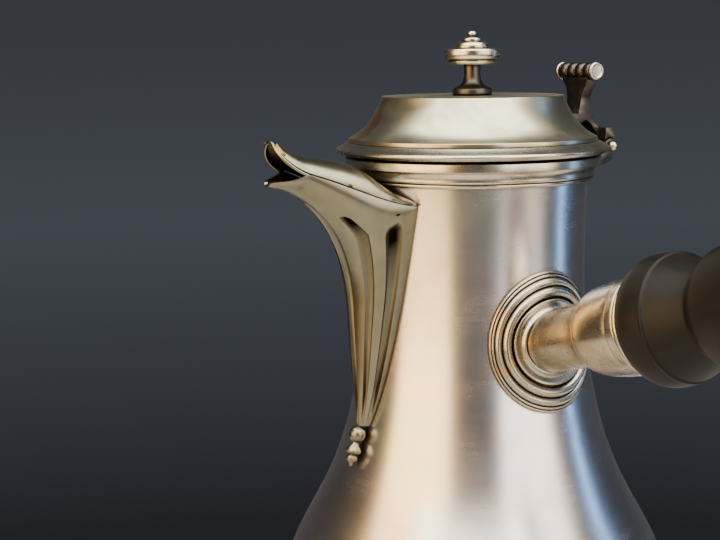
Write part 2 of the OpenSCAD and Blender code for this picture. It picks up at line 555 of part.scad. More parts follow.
// ---- finial ----
module finial_part(points) translate([0, 0, lid_top])
    difference() {
        rotate_extrude($fn = 64) polygon(points);
        translate([0, 0, -1]) cylinder(r = screw_r + 0.05, h = 60, $fn = 32);
    }
module finial_foot() color("#a39d8c")
    finial_part([[0, 0], [6.1, 0], [6.55, 0.5], [6.55, 2], [6, 2.5], [5.1, 2.9], [3.9, 3.7], [3.1, 4.8],
        [2.7, 6.4],
        [2.65, 7.6], [2.8, stem_h], [0, stem_h]]);
module finial_knob() color("#a39d8c")
    finial_part([[0, stem_h], [knob_r - 2.4, stem_h], [knob_r - 1.4, stem_h + 1.4], [knob_r - 2.2,
        stem_h + 1.5],
        [knob_r - 1.2, stem_h + 1.7], [knob_r - 0.3, stem_h + 2.4], [knob_r, stem_h + 3.3], [knob_r,
            stem_h + 4.7],
        [knob_r - 0.4, stem_h + 5.2], [5.5, stem_h + 5.2], [5.6, stem_h + 6.1], [5.1, stem_h + 7.1],
            [4.2, stem_h + 7.6],
        [0, stem_h + 7.6]]);
nut_top = lid_top - wall - hair;
module finial_screw() color("#a39d8c") {
    translate([0, 0, lid_top + stem_h + 7.6]) rotate_extrude($fn = 48)
        polygon(concat([[0, 0], [3.1, 0], [3.3, 0.3], [3.3, 0.9], [3, 1.2], [0.9, 1.4]],
            [for (i = [0:7]) let (a = -55 + i * 145 / 8) [1.65 * cos(a), 2.6 + 1.05 * sin(a)]], [[0,
                3.65]]));
    translate([0, 0, nut_top - 5]) cylinder(r = screw_r, h = lid_top + stem_h + 7.6 - nut_top + 5,
        $fn = 32);
}
module finial_nut() color("#bdb7a8")
    translate([0, 0, nut_top - 3]) difference() {
        cylinder(r = 4.2, h = 3, $fn = 6);
        translate([0, 0, -1]) cylinder(r = screw_r + 0.05, h = 5, $fn = 32);
    }

vessel();
rim_band();
rim_reed();
spout_shell();
spout_cover();
spout_drop();
foot_shield(foot_angles[0]);  // foot_shield_1
foot_shield(foot_angles[1]);  // foot_shield_2
foot_shield(foot_angles[2]);  // foot_shield_3
foot(foot_angles[0]);  // foot_1
foot(foot_angles[1]);  // foot_2
foot(foot_angles[2]);  // foot_3
handle_plate();
handle_socket();
socket_collar();
wooden_handle();
handle_pin();
hinge_bracket();
hinge_pin();
hinge_pin_ends();
lid_shell();
lid_flange();
lid_bezel();
lid_leaf();
thumb_bracket();
thumb_roller();
roller_caps();
finial_foot();
finial_knob();
finial_screw();
finial_nut();
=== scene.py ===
import math

import bpy
import numpy as np
from mathutils import Matrix, Vector


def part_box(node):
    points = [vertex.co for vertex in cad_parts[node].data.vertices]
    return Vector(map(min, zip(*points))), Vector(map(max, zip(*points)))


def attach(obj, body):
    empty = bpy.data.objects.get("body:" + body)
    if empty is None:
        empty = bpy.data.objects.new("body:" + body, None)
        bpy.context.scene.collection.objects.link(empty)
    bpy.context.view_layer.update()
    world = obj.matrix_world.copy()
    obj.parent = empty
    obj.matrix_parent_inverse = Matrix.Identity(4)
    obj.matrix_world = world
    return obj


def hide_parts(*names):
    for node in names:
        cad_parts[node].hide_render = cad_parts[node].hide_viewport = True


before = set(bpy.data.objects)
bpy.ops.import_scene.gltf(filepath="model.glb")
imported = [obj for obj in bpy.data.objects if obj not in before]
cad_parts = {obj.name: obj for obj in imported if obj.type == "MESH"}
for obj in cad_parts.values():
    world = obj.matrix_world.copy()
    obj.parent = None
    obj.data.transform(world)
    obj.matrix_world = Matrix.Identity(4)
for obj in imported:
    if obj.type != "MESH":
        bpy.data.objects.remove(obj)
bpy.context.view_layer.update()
MM = 0.001

# ---------------------------------------------------------------- camera, light and floor
# A long lens looks slightly down on the rim from the spout's side, with the handle to the right.
# A large soft box hangs overhead. Smaller ones stand round the pot: warm at the left, nearly white
# at the right and a narrow cool strip beyond it.
rim_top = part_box("rim_band")[1].z


def paint(hex_colour):
    """Turns an sRGB hex colour into linear RGBA."""
    parts = [int(hex_colour[i:i + 2], 16) / 255 for i in (1, 3, 5)]
    return [p / 12.92 if p <= 0.04045 else ((p + 0.055) / 1.055) ** 2.4 for p in parts] + [1.0]


def add(tree, kind, inputs=None, **settings):
    """Adds one node: settings are its properties, inputs its sockets by name or number (values or links)."""
    node = tree.nodes.new(kind)
    for name, value in settings.items():
        setattr(node, name, value)
    for name, value in (inputs or {}).items():
        if isinstance(value, bpy.types.NodeSocket):
            tree.links.new(value, node.inputs[name])
        else:
            node.inputs[name].default_value = value
    return node


camera_data = bpy.data.cameras.new("camera")
camera = bpy.data.objects.new("camera", camera_data)
bpy.context.collection.objects.link(camera)
camera_turn = math.radians(-34.5)
camera_away = 0.51293
camera_high = 0.03532
camera.location = (camera_away * math.sin(camera_turn), -camera_away * math.cos(camera_turn),
                   rim_top + camera_high)
look_left, look_down, lean = math.radians(4.230), math.radians(6.744), math.radians(-0.706)
camera.rotation_euler = (
    Matrix.Rotation(camera_turn + look_left, 3, "Z") @ Matrix.Rotation(math.pi / 2 - look_down, 3, "X")
    @ Matrix.Rotation(lean, 3, "Z")).to_euler()
camera_data.lens = 76.8
camera_data.sensor_width = 36
camera_data.shift_y = -0.0556
camera_data.clip_start = 0.01
camera_data.clip_end = 50
bpy.context.scene.camera = camera

# name, turn round the pot from the camera (to the right), height, distance from the axis, width,
# tall, watts, colour and the height looked at
for name, turn, high, away, wide, tall, watts, colour, aim in [
        ("ceiling_box", 4, 1.05, 0.34, 1.70, 1.25, 48, "#FFFCF0", 0.15),
        ("warm_box", -49, 0.36, 0.95, 0.98, 0.70, 15.0, "#FFD28E", 0.18),
        ("rose_box", 49, 0.40, 0.95, 0.86, 0.70, 8.6, "#FFF2E6", 0.18),
        ("cool_strip", 98, 0.34, 0.80, 0.07, 0.80, 1.0, "#8FC0FF", 0.18)]:
    data = bpy.data.lights.new(name, "AREA")
    data.shape, data.size, data.size_y, data.energy = "RECTANGLE", wide, tall, watts
    data.color = paint(colour)[:3]
    lamp = bpy.data.objects.new(name, data)
    bpy.context.collection.objects.link(lamp)
    angle = camera_turn + math.radians(turn)
    lamp.location = (away * math.sin(angle), -away * math.cos(angle), high)
    lamp.rotation_euler = (Vector((0, 0, aim)) - lamp.location).to_track_quat("-Z", "Y").to_euler()

# the room is a dark slate grey, lightest just under the horizon and darkest low down
world = bpy.data.worlds.new("studio")
bpy.context.scene.world = world
world.use_nodes = True
room = world.node_tree
level = add(room, "ShaderNodeSeparateXYZ", {"Vector": add(room, "ShaderNodeTexCoord").outputs["Generated"]})
rise = add(room, "ShaderNodeMapRange", {"Value": level.outputs["Z"], "From Min": -0.30, "From Max": 0.08})
wall_shade = add(room, "ShaderNodeValToRGB", {"Fac": rise.outputs["Result"]})
wall_shade.color_ramp.elements[0].color = paint("#26272B")
wall_shade.color_ramp.elements[1].color = paint("#34353A")
wall_shade.color_ramp.elements.new(0.5).color = paint("#454950")
room.links.new(wall_shade.outputs["Color"], room.nodes["Background"].inputs["Color"])

bpy.ops.object.select_all(action="DESELECT")
floor_r, floor_behind = 0.42, 0.26
toward = Vector((math.sin(camera_turn), -math.cos(camera_turn), 0)) * (floor_r - floor_behind)
bpy.ops.mesh.primitive_circle_add(vertices=128, radius=floor_r, fill_type="NGON",
    location=toward - Vector((0, 0, 0.0004)))
floor = bpy.context.object
floor.name = "floor"
# painted card: matt, pale and faintly mottled
floor_paint = bpy.data.materials.new("matt_pale_card")
floor_paint.use_nodes = True
card = floor_paint.node_tree
speck = add(card, "ShaderNodeTexNoise", {"Scale": 400.0, "Detail": 3.0})
shade = add(card, "ShaderNodeMix", {"Factor": speck.outputs["Fac"], "A": paint("#ADAAA5"),
    "B": paint("#B6B3AE")}, data_type="RGBA")
card.links.new(shade.outputs["Result"], card.nodes["Principled BSDF"].inputs["Base Color"])
card.nodes["Principled BSDF"].inputs["Roughness"].default_value = 0.85
floor.data.materials.append(floor_paint)

# ---------------------------------------------------------------- vessel
# The pear-shaped body is raised from one sheet of silver and hand polished. A thin cream, rose
# and blue film lies on it, and a strainer of small holes is drilled behind the spout.
rim_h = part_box("vessel")[1].z / MM
base_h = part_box("vessel")[0].z / MM
belly_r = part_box("vessel")[1].x / MM
neck_r, neck_flare, waist_drop, belly_h, base_r, wall = 37.05, 1.6, 36, 58, 26, 1.0
waist_h = rim_h - waist_drop


def curve(t, a, b, c, d):
    """A cubic curve's value at t."""
    return a * (1 - t) ** 3 + 3 * b * t * (1 - t) ** 2 + 3 * c * t * t * (1 - t) + d * t ** 3


def arc(middle_r, middle_z, half_w, half_h, start, end, steps):
    """Points of an elliptic arc, with angles in degrees from the +radius side."""
    angles = np.radians(np.linspace(start, end, steps + 1))
    return [(middle_r + half_w * math.cos(a), middle_z + half_h * math.sin(a)) for a in angles]


def eased(outline, radius, turn=24):
    """Rounds each corner of an outline that turns sharply, as polishing does."""
    done = [outline[0]]
    for before, here, after in zip(outline, outline[1:], outline[2:]):
        a, p, b = Vector(before), Vector(here), Vector(after)
        if (p - a).length < 1e-6 or (b - p).length < 1e-6 or (p - a).angle(b - p) < math.radians(turn):
            done.append(here)
            continue
        back = min(radius, 0.45 * (p - a).length, 0.45 * (b - p).length)
        first, last = p + (a - p).normalized() * back, p + (b - p).normalized() * back
        done += [tuple(first * (1 - t) ** 2 + p * 2 * t * (1 - t) + last * t * t)
            for t in (0, 0.25, 0.5, 0.75, 1)]
    return done + [outline[-1]]


def turned(name, outline, place=None, steps=144, ease=0.2):
    """Draws an outline of (radius, height) in mm in edit mode and spins it, as on a lathe."""
    loop = outline[0] == outline[-1]
    outline = eased(outline, ease) if ease else outline
    if loop and ease:
        outline = eased(outline[-2:-1] + outline[:2], ease)[1:-1] + outline[1:-1]
        outline = outline + outline[:1]
    bpy.ops.object.select_all(action="DESELECT")
    bpy.ops.mesh.primitive_plane_add(size=MM, location=(0, 0, 0))
    piece = bpy.context.object
    piece.name = name
    bpy.ops.object.mode_set(mode="EDIT")
    bpy.ops.mesh.select_all(action="SELECT")
    bpy.ops.mesh.merge(type="CENTER")
    bpy.ops.transform.translate(value=(outline[0][0] * MM, 0, outline[0][1] * MM))
    for p, q in zip(outline, outline[1:]):
        bpy.ops.mesh.extrude_region_move(TRANSFORM_OT_translate={"value": ((q[0] - p[0]) * MM, 0,
            (q[1] - p[1]) * MM)})
    bpy.ops.mesh.select_all(action="SELECT")
    bpy.ops.mesh.spin(steps=steps, angle=2 * math.pi, center=(0, 0, 0), axis=(0, 0, 1))
    bpy.ops.mesh.select_all(action="SELECT")
    bpy.ops.mesh.remove_doubles(threshold=0.002 * MM)
    bpy.ops.mesh.normals_make_consistent(inside=False)
    bpy.ops.object.mode_set(mode="OBJECT")
    if place:
        piece.matrix_world = place
        bpy.ops.object.transform_apply(location=True, rotation=True, scale=True)
    return piece


def fitted(piece, finish, body, slot, *nodes, smooth=35, inner=None):
    """Smooths a finished piece, gives it its finish (and an inner one) and lets it replace its CAD nodes."""
    bpy.ops.object.select_all(action="DESELECT")
    piece.select_set(True)
    bpy.context.view_layer.objects.active = piece
    bpy.ops.object.shade_smooth_by_angle(angle=math.radians(smooth))
    if inner:
        piece.data.materials[0], piece.data.materials[1] = finish, inner
    else:
        piece.data.materials.clear()
        piece.data.materials.append(finish)
    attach(piece, body)
    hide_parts(*nodes)
    return piece


def aged_silver(name, clean, films, tarnish_and_shade, rough, film_mm=38, film_share=0.6, recess_mm=2.2, blotch=0.35):
    """Silver, clean where it is rubbed, with a thin film in coloured clouds, and tarnish darkened by painted
    shade in its recesses and where parts meet.
    """
    finish = bpy.data.materials.new(name)
    finish.use_nodes = True
    tree = finish.node_tree
    shader = tree.nodes["Principled BSDF"]
    place = add(tree, "ShaderNodeTexCoord").outputs["Object"]
    cloud = add(tree, "ShaderNodeTexNoise", {"Vector": place, "Scale": 1 / (film_mm * MM), "Detail": 3.0,
                                            "Roughness": 0.55, "Distortion": 0.6})
    ramp = add(tree, "ShaderNodeValToRGB", {"Fac": cloud.outputs["Fac"]})
    ramp.color_ramp.elements[0].position, ramp.color_ramp.elements[0].color = 0.30, paint(films[0])
    ramp.color_ramp.elements[1].position, ramp.color_ramp.elements[1].color = 0.70, paint(films[-1])
    for i, film in enumerate(films[1:-1]):
        ramp.color_ramp.elements.new(0.30 + 0.40 * (i + 1) / (len(films) - 1)).color = paint(film)
    filmed = add(tree, "ShaderNodeMix", {"Factor": film_share, "A": paint(clean),
                                         "B": ramp.outputs["Color"]}, data_type="RGBA")
    # brown sulphide patches, about a third as large as the clouds
    patch = add(tree, "ShaderNodeTexNoise", {"Vector": place, "Scale": 3.2 / (film_mm * MM), "Detail": 2.5,
                                            "Roughness": 0.5})
    patch_share = add(tree, "ShaderNodeMapRange", {"Value": patch.outputs["Fac"], "From Min": 0.46,
                                                   "From Max": 0.85, "To Min": 0.0, "To Max": blotch})
    patched = add(tree, "ShaderNodeMix", {"Factor": patch_share.outputs["Result"],
                                          "A": filmed.outputs["Result"],
                                          "B": paint(tarnish_and_shade[0])}, data_type="RGBA")
    # tarnish and painted shade: brown, then black, laid wherever ambient occlusion finds the surface shut
    # in, in hollows and where parts meet
    shut = add(tree, "ShaderNodeAmbientOcclusion", {"Distance": recess_mm * MM}, samples=16)
    deep = add(tree, "ShaderNodeMapRange", {"Value": shut.outputs["AO"], "From Min": 0.28, "From Max": 0.70,
                                            "To Min": 1.0, "To Max": 0.0})
    # the black drawn into the spout's flutes, tarnish and painted shade, joins the shut-in mask
    flute_tarnish_and_shade = add(tree, "ShaderNodeAttribute", attribute_name="flute_tarnish_and_shade")
    deep = add(tree, "ShaderNodeMath", {0: deep.outputs["Result"], 1: flute_tarnish_and_shade.outputs["Fac"]},
        operation="MAXIMUM")
    # painted shade with some tarnish: brown round the edges of the shut-in places
    rim = add(tree, "ShaderNodeMapRange", {"Value": shut.outputs["AO"], "From Min": 0.50, "From Max": 0.82,
                                           "To Min": 0.7, "To Max": 0.0})
    tarnish_and_shade_brown = add(tree, "ShaderNodeMix", {"Factor": rim.outputs["Result"], "A": patched.outputs["Result"],
                                          "B": paint(tarnish_and_shade[0])}, data_type="RGBA")
    tarnish_and_shade_black = add(tree, "ShaderNodeMix", {"Factor": deep.outputs["Value"], "A": tarnish_and_shade_brown.outputs["Result"],
                                        "B": paint(tarnish_and_shade[1])}, data_type="RGBA")
    tree.links.new(tarnish_and_shade_black.outputs["Result"], shader.inputs["Base Color"])
    shader.inputs["Metallic"].default_value = 1.0
    # hand-polish marks: 1.4 mm wide and 17 mm long, mostly round the pot (real ones are too fine to show)
    squeeze = add(tree, "ShaderNodeMapping", {"Vector": place, "Scale": (0.08, 0.08, 1.0)})
    marks = add(tree, "ShaderNodeTexNoise", {"Vector": squeeze.outputs["Vector"], "Scale": 1 / (1.4 * MM),
                                            "Detail": 1.0, "Roughness": 0.5})
    dull = add(tree, "ShaderNodeMath", {0: marks.outputs["Fac"], 1: 0.04, 2: rough - 0.02},
               operation="MULTIPLY_ADD")
    dull_patch = add(tree, "ShaderNodeMath", {0: patch_share.outputs["Result"], 1: 0.25,
                                              2: dull.outputs["Value"]}, operation="MULTIPLY_ADD")
    dull_deep = add(tree, "ShaderNodeMath", {0: deep.outputs["Value"], 1: 0.30,
                                             2: dull_patch.outputs["Value"]}, operation="MULTIPLY_ADD")
    tree.links.new(dull_deep.outputs["Value"], shader.inputs["Roughness"])
    # shallow planishing dents, 9 mm across
    dents = add(tree, "ShaderNodeTexNoise", {"Vector": place, "Scale": 1 / (9 * MM), "Detail": 1.0})
    bump = add(tree, "ShaderNodeBump", {"Height": dents.outputs["Fac"], "Strength": 0.24,
        "Distance": 0.02 * MM})
    tree.links.new(bump.outputs["Normal"], shader.inputs["Normal"])
    return finish


# hand-polished silver: soft-edged reflections under a thin cloudy film
body_silver = aged_silver("hand_polished_silver", "#E6E2D8",
                          ["#EAD7AE", "#DCD2C6", "#DDCCD2", "#C6D0D4", "#D6CDB6"],
                          ["#7A5A38", "#1E1712"], rough=0.25, film_mm=42, film_share=0.62, blotch=0.18)

neck = [(neck_r + neck_flare * u * u, waist_h + waist_drop * u) for u in np.linspace(1, 0, 15)]
flank_h = waist_h - belly_h
flank = [(curve(t, neck_r, neck_r, belly_r, belly_r),
          curve(t, waist_h, waist_h - 0.703 * flank_h, belly_h + 0.362 * flank_h, belly_h))
         for t in np.linspace(0, 1, 57)[1:]]
bowl = [(base_r + (belly_r - base_r) * math.cos(a), belly_h - (belly_h - base_h) * math.sin(a))
        for a in np.radians(np.linspace(0, 90, 25)[1:])]
outside = neck + flank + bowl
line_z, line_r = np.array([p[1] for p in outside][::-1]), np.array([p[0] for p in outside][::-1])


def body_r(z):
    """Radius of the body's outside at a height, in mm."""
    return float(np.interp(z, line_z, line_r))


def body_n(z):
    """Normal of the body's outline at a height, as (out, up)."""
    slope = body_r(z + 0.5) - body_r(z - 0.5)
    return 1 / math.hypot(1, slope), -slope / math.hypot(1, slope)


def on_body(angle, z, lift):
    """A point at an angle in degrees and a height on the body, lifted off along its normal."""
    out, up = body_n(z)
    r = body_r(z) + lift * out
    return (r * math.cos(math.radians(angle)), r * math.sin(math.radians(angle)), z + lift * up)


def offset(line, thick):
    """The line moved to its left by a thickness, for the other side of a sheet."""
    moved = []
    for i, (r, z) in enumerate(line):
        a, b = line[max(i - 1, 0)], line[min(i + 1, len(line) - 1)]
        length = math.hypot(b[0] - a[0], b[1] - a[1])
        moved.append((r - thick * (b[1] - a[1]) / length, z + thick * (b[0] - a[0]) / length))
    return moved


body_line = [(0, base_h)] + outside[::-1] + offset(outside, -wall) + [(0, base_h + wall)]
vessel = turned("pot_body", body_line, steps=160, ease=0)

strainer_r, strainer_top = 1.1, rim_h - 28
column_pitch, row_pitch, row_count = 4.2, 6.5, 7
bpy.ops.object.select_all(action="DESELECT")
drills = []
for row in range(row_count):
    for column in (-1, 0, 1):
        middle = (-belly_r / 2, column * column_pitch, strainer_top - row * row_pitch)
        bpy.ops.mesh.primitive_cylinder_add(vertices=24, radius=strainer_r * MM, depth=belly_r * MM,
                                            rotation=(0, math.pi / 2, 0),
                                            location=[part * MM for part in middle])
        drills.append(bpy.context.object)
for drill in drills:
    drill.select_set(True)
bpy.context.view_layer.objects.active = drills[0]
bpy.ops.object.join()
drill = bpy.context.object


def cut(piece, tool):
    """Cuts a tool's shape out of a piece and throws the tool away."""
    bpy.ops.object.select_all(action="DESELECT")
    bpy.context.view_layer.objects.active = piece
    piece.select_set(True)
    boolean = piece.modifiers.new("cut", "BOOLEAN")
    boolean.operation, boolean.object, boolean.solver = "DIFFERENCE", tool, "EXACT"
    bpy.ops.object.modifier_apply(modifier=boolean.name)
    bpy.data.objects.remove(tool)


cut(vessel, drill)
fitted(vessel, body_silver, "pot", "silver", "vessel")

# ---------------------------------------------------------------- rim mouldings
# A drawn band with a hollow under it stiffens the mouth, and a fine reed of wire is soldered
# below it. Both are bright on their crowns; tarnish and painted shade make the hollow black.

# turned and cast mounts, satin from wear: bright crowns, with tarnish and painted shade making their edges
# brown and their hollows black
mount_silver = aged_silver("satin_silver_mounts", "#D3CCB8", ["#CDBD97", "#BDB59F", "#C9BFB4", "#B9B9A6"],
                           ["#6B4E30", "#17110D"], rough=0.25, film_mm=24, film_share=0.7, recess_mm=2.6,
                           blotch=0.25)
band_r, band_h, reed_h = 42.5, 6.9, 1.5
band_bottom = rim_h - band_h
seat = 0.05
band = ([(body_r(rim_h) - seat, rim_h), (band_r - 0.8, rim_h), (band_r, rim_h - 0.7),
        (band_r, rim_h - 3.3), (band_r - 0.5, rim_h - 3.35)]
        + arc(band_r - 0.5, rim_h - 6.1, 1.1, 2.6, 100, 178, 10)
        + [(band_r - 1.6, rim_h - 6.4), (band_r - 1.9, band_bottom),
        (body_r(band_bottom) - seat, band_bottom)])
fitted(turned("rim_band_moulding", band + band[:1]), mount_silver, "pot", "silver", "rim_band")
reed = ([(body_r(band_bottom) - seat, band_bottom)] + arc(band_r - 3.3, band_bottom - reed_h / 2,
        reed_h / 2, reed_h / 2, 90, -90, 14)
        + [(body_r(band_bottom - reed_h) - seat, band_bottom - reed_h)])
fitted(turned("rim_reed_wire", reed + reed[:1], ease=0.1), mount_silver, "pot", "silver", "rim_reed")

# ---------------------------------------------------------------- spout
# The beak spout is chased from sheet: a trough with five round-topped flutes, soldered to the
# neck, a domed cover over its root that opens in a hood, and a turned drop under its point.

# chased silver, left satin: a dull olive sheen, with black tarnish and painted shade in the round ends of
# the flutes
spout_silver = aged_silver("satin_chased_silver", "#949080", ["#8A8160", "#737160", "#807C69", "#6C6E64"],
                           ["#62462A", "#0E0A07"], rough=0.31, film_mm=20, film_share=0.8, recess_mm=2.6,
                           blotch=0.2)
spout_reach, spout_drop_h, spout_half_angle = -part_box("spout_shell")[0].x / MM - 0.2, 86.6, 28.8
spout_bottom, beak_z = rim_h - spout_drop_h, rim_h - 14.3
corner = (67, 9, rim_h - 3)
flute_depth, foot_half_angle, spout_wall = 1.6, 3, 1.0
beak_edge = (body_r(beak_z) * math.cos(math.radians(spout_half_angle)),
             body_r(beak_z) * math.sin(math.radians(spout_half_angle)), beak_z)


def attached_edge(u):
    """Edge of the trough where it is soldered to the body: (out, half width, height)."""
    z = spout_bottom + (beak_z - spout_bottom) * u
    angle = foot_half_angle + (spout_half_angle - foot_half_angle) * u ** 0.9
    r = body_r(z) - 0.03
    return r * math.cos(math.radians(angle)), r * math.sin(math.radians(angle)), z


def seam(t):
    """Edge where the trough and the cover meet."""
    return (curve(t, beak_edge[0], 43.5, 54, corner[0]), curve(t, beak_edge[1], 17.4, 13.6, corner[1]),
            curve(t, beak_z, beak_z + 0.7, rim_h - 7.2, corner[2]))


def lip(t):
    """Edge of the lower lip, from the mouth's corner to its tip."""
    return (curve(t, corner[0], corner[0] + 4, spout_reach - 1, spout_reach - 0.2),
            curve(t, corner[1], 8, 6, 1),
            curve(t, corner[2], rim_h - 5, rim_h - 5.4, rim_h - 5.6))


def keel(v):
    """The spout's lowest line, from the drop to the lip: (out, height)."""
    if v < 0.42:
        t = v / 0.42
        return (curve(t, body_r(spout_bottom) + 3.6, 46.2, 46.9, 47.3),
                curve(t, spout_bottom, spout_bottom + 9, rim_h - 63, rim_h - 50))
    t = (v - 0.42) / 0.58
    return (curve(t, 47.3, 47.8, 58, spout_reach + 0.2),
            curve(t, rim_h - 50, rim_h - 28, rim_h - 10.5, rim_h - 6.9))


# each flute: its angle round the trough, its top along it, the length of its round end and its half angle
flutes = [(0, 1.78, 0.11, 8.5), (35, 1.40, 0.09, 6.8), (66, 0.985, 0.04, 8.5)]
# the dimple near the trough's corner: its place along and round the trough, and its half sizes there
hole_along, hole_half_length, hole_angle, hole_half_angle = 1.075, 0.02, 75.5, 1.5


def pinhole(u, q):
    """Depth, 0 to 1, of the small round dimple near the trough's corner on each side."""
    away = math.hypot((abs(q) - hole_angle) / hole_half_angle, (u - hole_along) / hole_half_length)
    return min(max(1.6 - 1.6 * away, 0), 1)


def flute(u, q):
    """Depth of the flutes, 0 to 1, at a place on the trough."""
    depth = 0
    for angle, top, end, half_angle in flutes:
        across, along = (abs(q) - angle) / half_angle, max((u - top + end) / end, 0)
        away = across * across + along * along
        depth = max(depth, min(math.sqrt(max(1 - away, 0)) * 1.15, 1) * min(u / 0.2, 1))
    return max(depth, pinhole(u, q))


def trough_point(u, q):
    """A point of the trough: u runs up the body, then along the seam and the lip, and q across."""
    out, half, z = attached_edge(u) if u < 1 else seam(u - 1) if u < 2 else lip(u - 2)
    low = keel(0.66 * u if u < 1 else 0.66 + 0.24 * (u - 1) if u < 2 else 0.9 + 0.1 * (u - 2))
    run = (low[0] - out, low[1] - z)
    span = math.hypot(*run)
    groove, a = flute(u, q) * flute_depth, math.radians(q)
    share = (span - groove * math.cos(a)) / span
    return (-(out + run[0] * share * math.cos(a)), (half - groove * math.sin(abs(a))) * math.sin(a),
            z + run[1] * share * math.cos(a))


def wrapped(name, shape, us, qs, tube=False, flute_tarnish_and_shade=None):
    """Adds a grid and lays its points where shape(u, q) says, in mm; a tube's seam and ends are closed."""
    bpy.ops.object.select_all(action="DESELECT")
    bpy.ops.mesh.primitive_grid_add(x_subdivisions=len(us) - 1, y_subdivisions=len(qs) - 1, size=1)
    piece = bpy.context.object
    piece.name = name
    # a per-point amount of black, tarnish and painted shade, that the material reads
    tarnish_and_shade_layer = piece.data.attributes.new("flute_tarnish_and_shade", "FLOAT", "POINT") if flute_tarnish_and_shade else None
    for vertex in piece.data.vertices:
        u = us[round((vertex.co.x + 0.5) * (len(us) - 1))]
        q = qs[round((vertex.co.y + 0.5) * (len(qs) - 1))]
        vertex.co = Vector(shape(u, q)) * MM
        if flute_tarnish_and_shade:
            tarnish_and_shade_layer.data[vertex.index].value = flute_tarnish_and_shade(u, q)
    bpy.ops.object.mode_set(mode="EDIT")
    bpy.ops.mesh.select_all(action="SELECT")
    bpy.ops.mesh.remove_doubles(threshold=0.002 * MM)
    if tube:
        bpy.ops.mesh.select_all(action="DESELECT")
        bpy.ops.mesh.select_non_manifold()
        bpy.ops.mesh.fill_holes(sides=0)
        bpy.ops.mesh.select_all(action="SELECT")
    bpy.ops.mesh.normals_make_consistent(inside=False)
    bpy.ops.object.mode_set(mode="OBJECT")
    return piece


def thickened(piece, thick, inward):
    """Gives a sheet its wall; inward is a point on the side that the wall grows to."""
    if sum(face.area * face.normal.dot(Vector(inward) * MM - face.center)
            for face in piece.data.polygons) > 0:
        bpy.ops.object.mode_set(mode="EDIT")
        bpy.ops.mesh.select_all(action="SELECT")
        bpy.ops.mesh.flip_normals()
        bpy.ops.object.mode_set(mode="OBJECT")
    sheet = piece.modifiers.new("sheet", "SOLIDIFY")
    sheet.thickness, sheet.offset, sheet.use_rim, sheet.material_offset = thick * MM, -1, True, 1
    piece.data.materials.append(None)
    piece.data.materials.append(None)
    bpy.ops.object.modifier_apply(modifier=sheet.name)
    return piece


# rows from the foot to the lip, closer together over the dimple
us = sorted(set(np.linspace(0, 1, 81)) | set(np.linspace(1, 2, 61))
            | set(np.linspace(1.0525, 1.0975, 10)) | set(np.linspace(2, 2.94, 25)))


def flute_tarnish_and_shade_depth(u, q):
    """The black laid in a flute, tarnish and painted shade: thick at its round top, thin below, and none on
    the lands.
    """
    amount = pinhole(u, q)
    for angle, top, end, half_angle in flutes:
        if abs(abs(q) - angle) < half_angle and u < top:
            fade = min(2.4 * math.exp(-(top - u) / (0.22 if top > 1 else 0.10)), 1)
            amount = max(amount, (0.25 + 0.75 * fade) * flute(u, q))
    return amount


trough = wrapped("spout_trough", trough_point, us, list(np.linspace(-90, 90, 241)), flute_tarnish_and_shade=flute_tarnish_and_shade_depth)
trough = thickened(trough, spout_wall, (-45, 0, rim_h - 20))


def soften(piece, near, far, turns):
    """Smooths the points of a sheet between two distances out from the pot's axis, but not its edges."""
    bpy.ops.object.select_all(action="DESELECT")
    piece.select_set(True)
    bpy.context.view_layer.objects.active = piece
    bpy.ops.object.mode_set(mode="EDIT")
    bpy.ops.mesh.select_mode(type="VERT")
    bpy.ops.mesh.select_all(action="DESELECT")
    bpy.ops.mesh.select_non_manifold()
    bpy.ops.object.mode_set(mode="OBJECT")
    for vertex in piece.data.vertices:
        vertex.select = not vertex.select and near < -vertex.co.x / MM < far
    bpy.ops.object.mode_set(mode="EDIT")
    bpy.ops.mesh.vertices_smooth(factor=0.5, repeat=turns)
    bpy.ops.object.mode_set(mode="OBJECT")
    return piece


# silver that no cloth reaches: dark brown and nearly matt
spout_dark = aged_silver("unpolished_spout_inside", "#5A5042", ["#4E4233", "#3C3328", "#5B4C38"],
                         ["#2E2116", "#0C0907"], rough=0.50, film_mm=9, film_share=0.8, recess_mm=5,
                         blotch=0.8)
fitted(trough, spout_silver, "pot", "silver", "spout_shell", smooth=50, inner=spout_dark)

cover_seat = rim_h - 10.6
ridge_line = ([(curve(t, body_r(cover_seat) + 0.1, 41.8, 45.5, 50),
                curve(t, cover_seat, rim_h - 8.4, rim_h - 2.2, rim_h - 0.9))
               for t in np.linspace(0, 1, 25)]
              + [(curve(t, 50, 58, 67.5, 75.7),
                  curve(t, rim_h - 0.9, rim_h + 1.8, rim_h + 0.2, rim_h + 7.9))
                 for t in np.linspace(0, 1, 31)[1:]])


def hood(t):
    """Edge of the hood, from the mouth's corner to its peak."""
    return (curve(t, corner[0], corner[0] + 4.5, corner[0] + 8.8, corner[0] + 8.5),
            curve(t, corner[1], 8.0, 6.9, 1.2),
            curve(t, corner[2], rim_h - 0.9, rim_h + 2.5, rim_h + 7.2))


def cover_point(u, q):
    """A point of the cover: u runs along the seam and the hood's edge, and q over the ridge."""
    edge = seam(u) if u < 1 else hood(u - 1)
    over = 0.3 * min(u / 0.2, 1)
    root, mouth = ridge_line[0][0], corner[0] - 0.8
    along = root + (mouth - root) * u if u < 1 else mouth + 9.4 * (u - 1)
    top = float(np.interp(along, [p[0] for p in ridge_line], [p[1] for p in ridge_line]))
    a = math.radians(q)
    out, z = edge[0] + (along - edge[0]) * math.cos(a), edge[2] + (top - edge[2]) * math.cos(a)
    side = (edge[1] + over) * math.sin(a)
    held = math.sqrt(max((body_r(z) - 0.03) ** 2 - side * side, 0))
    return (-(out + (held - out) * max(1 - u / 0.1, 0)), side, z)


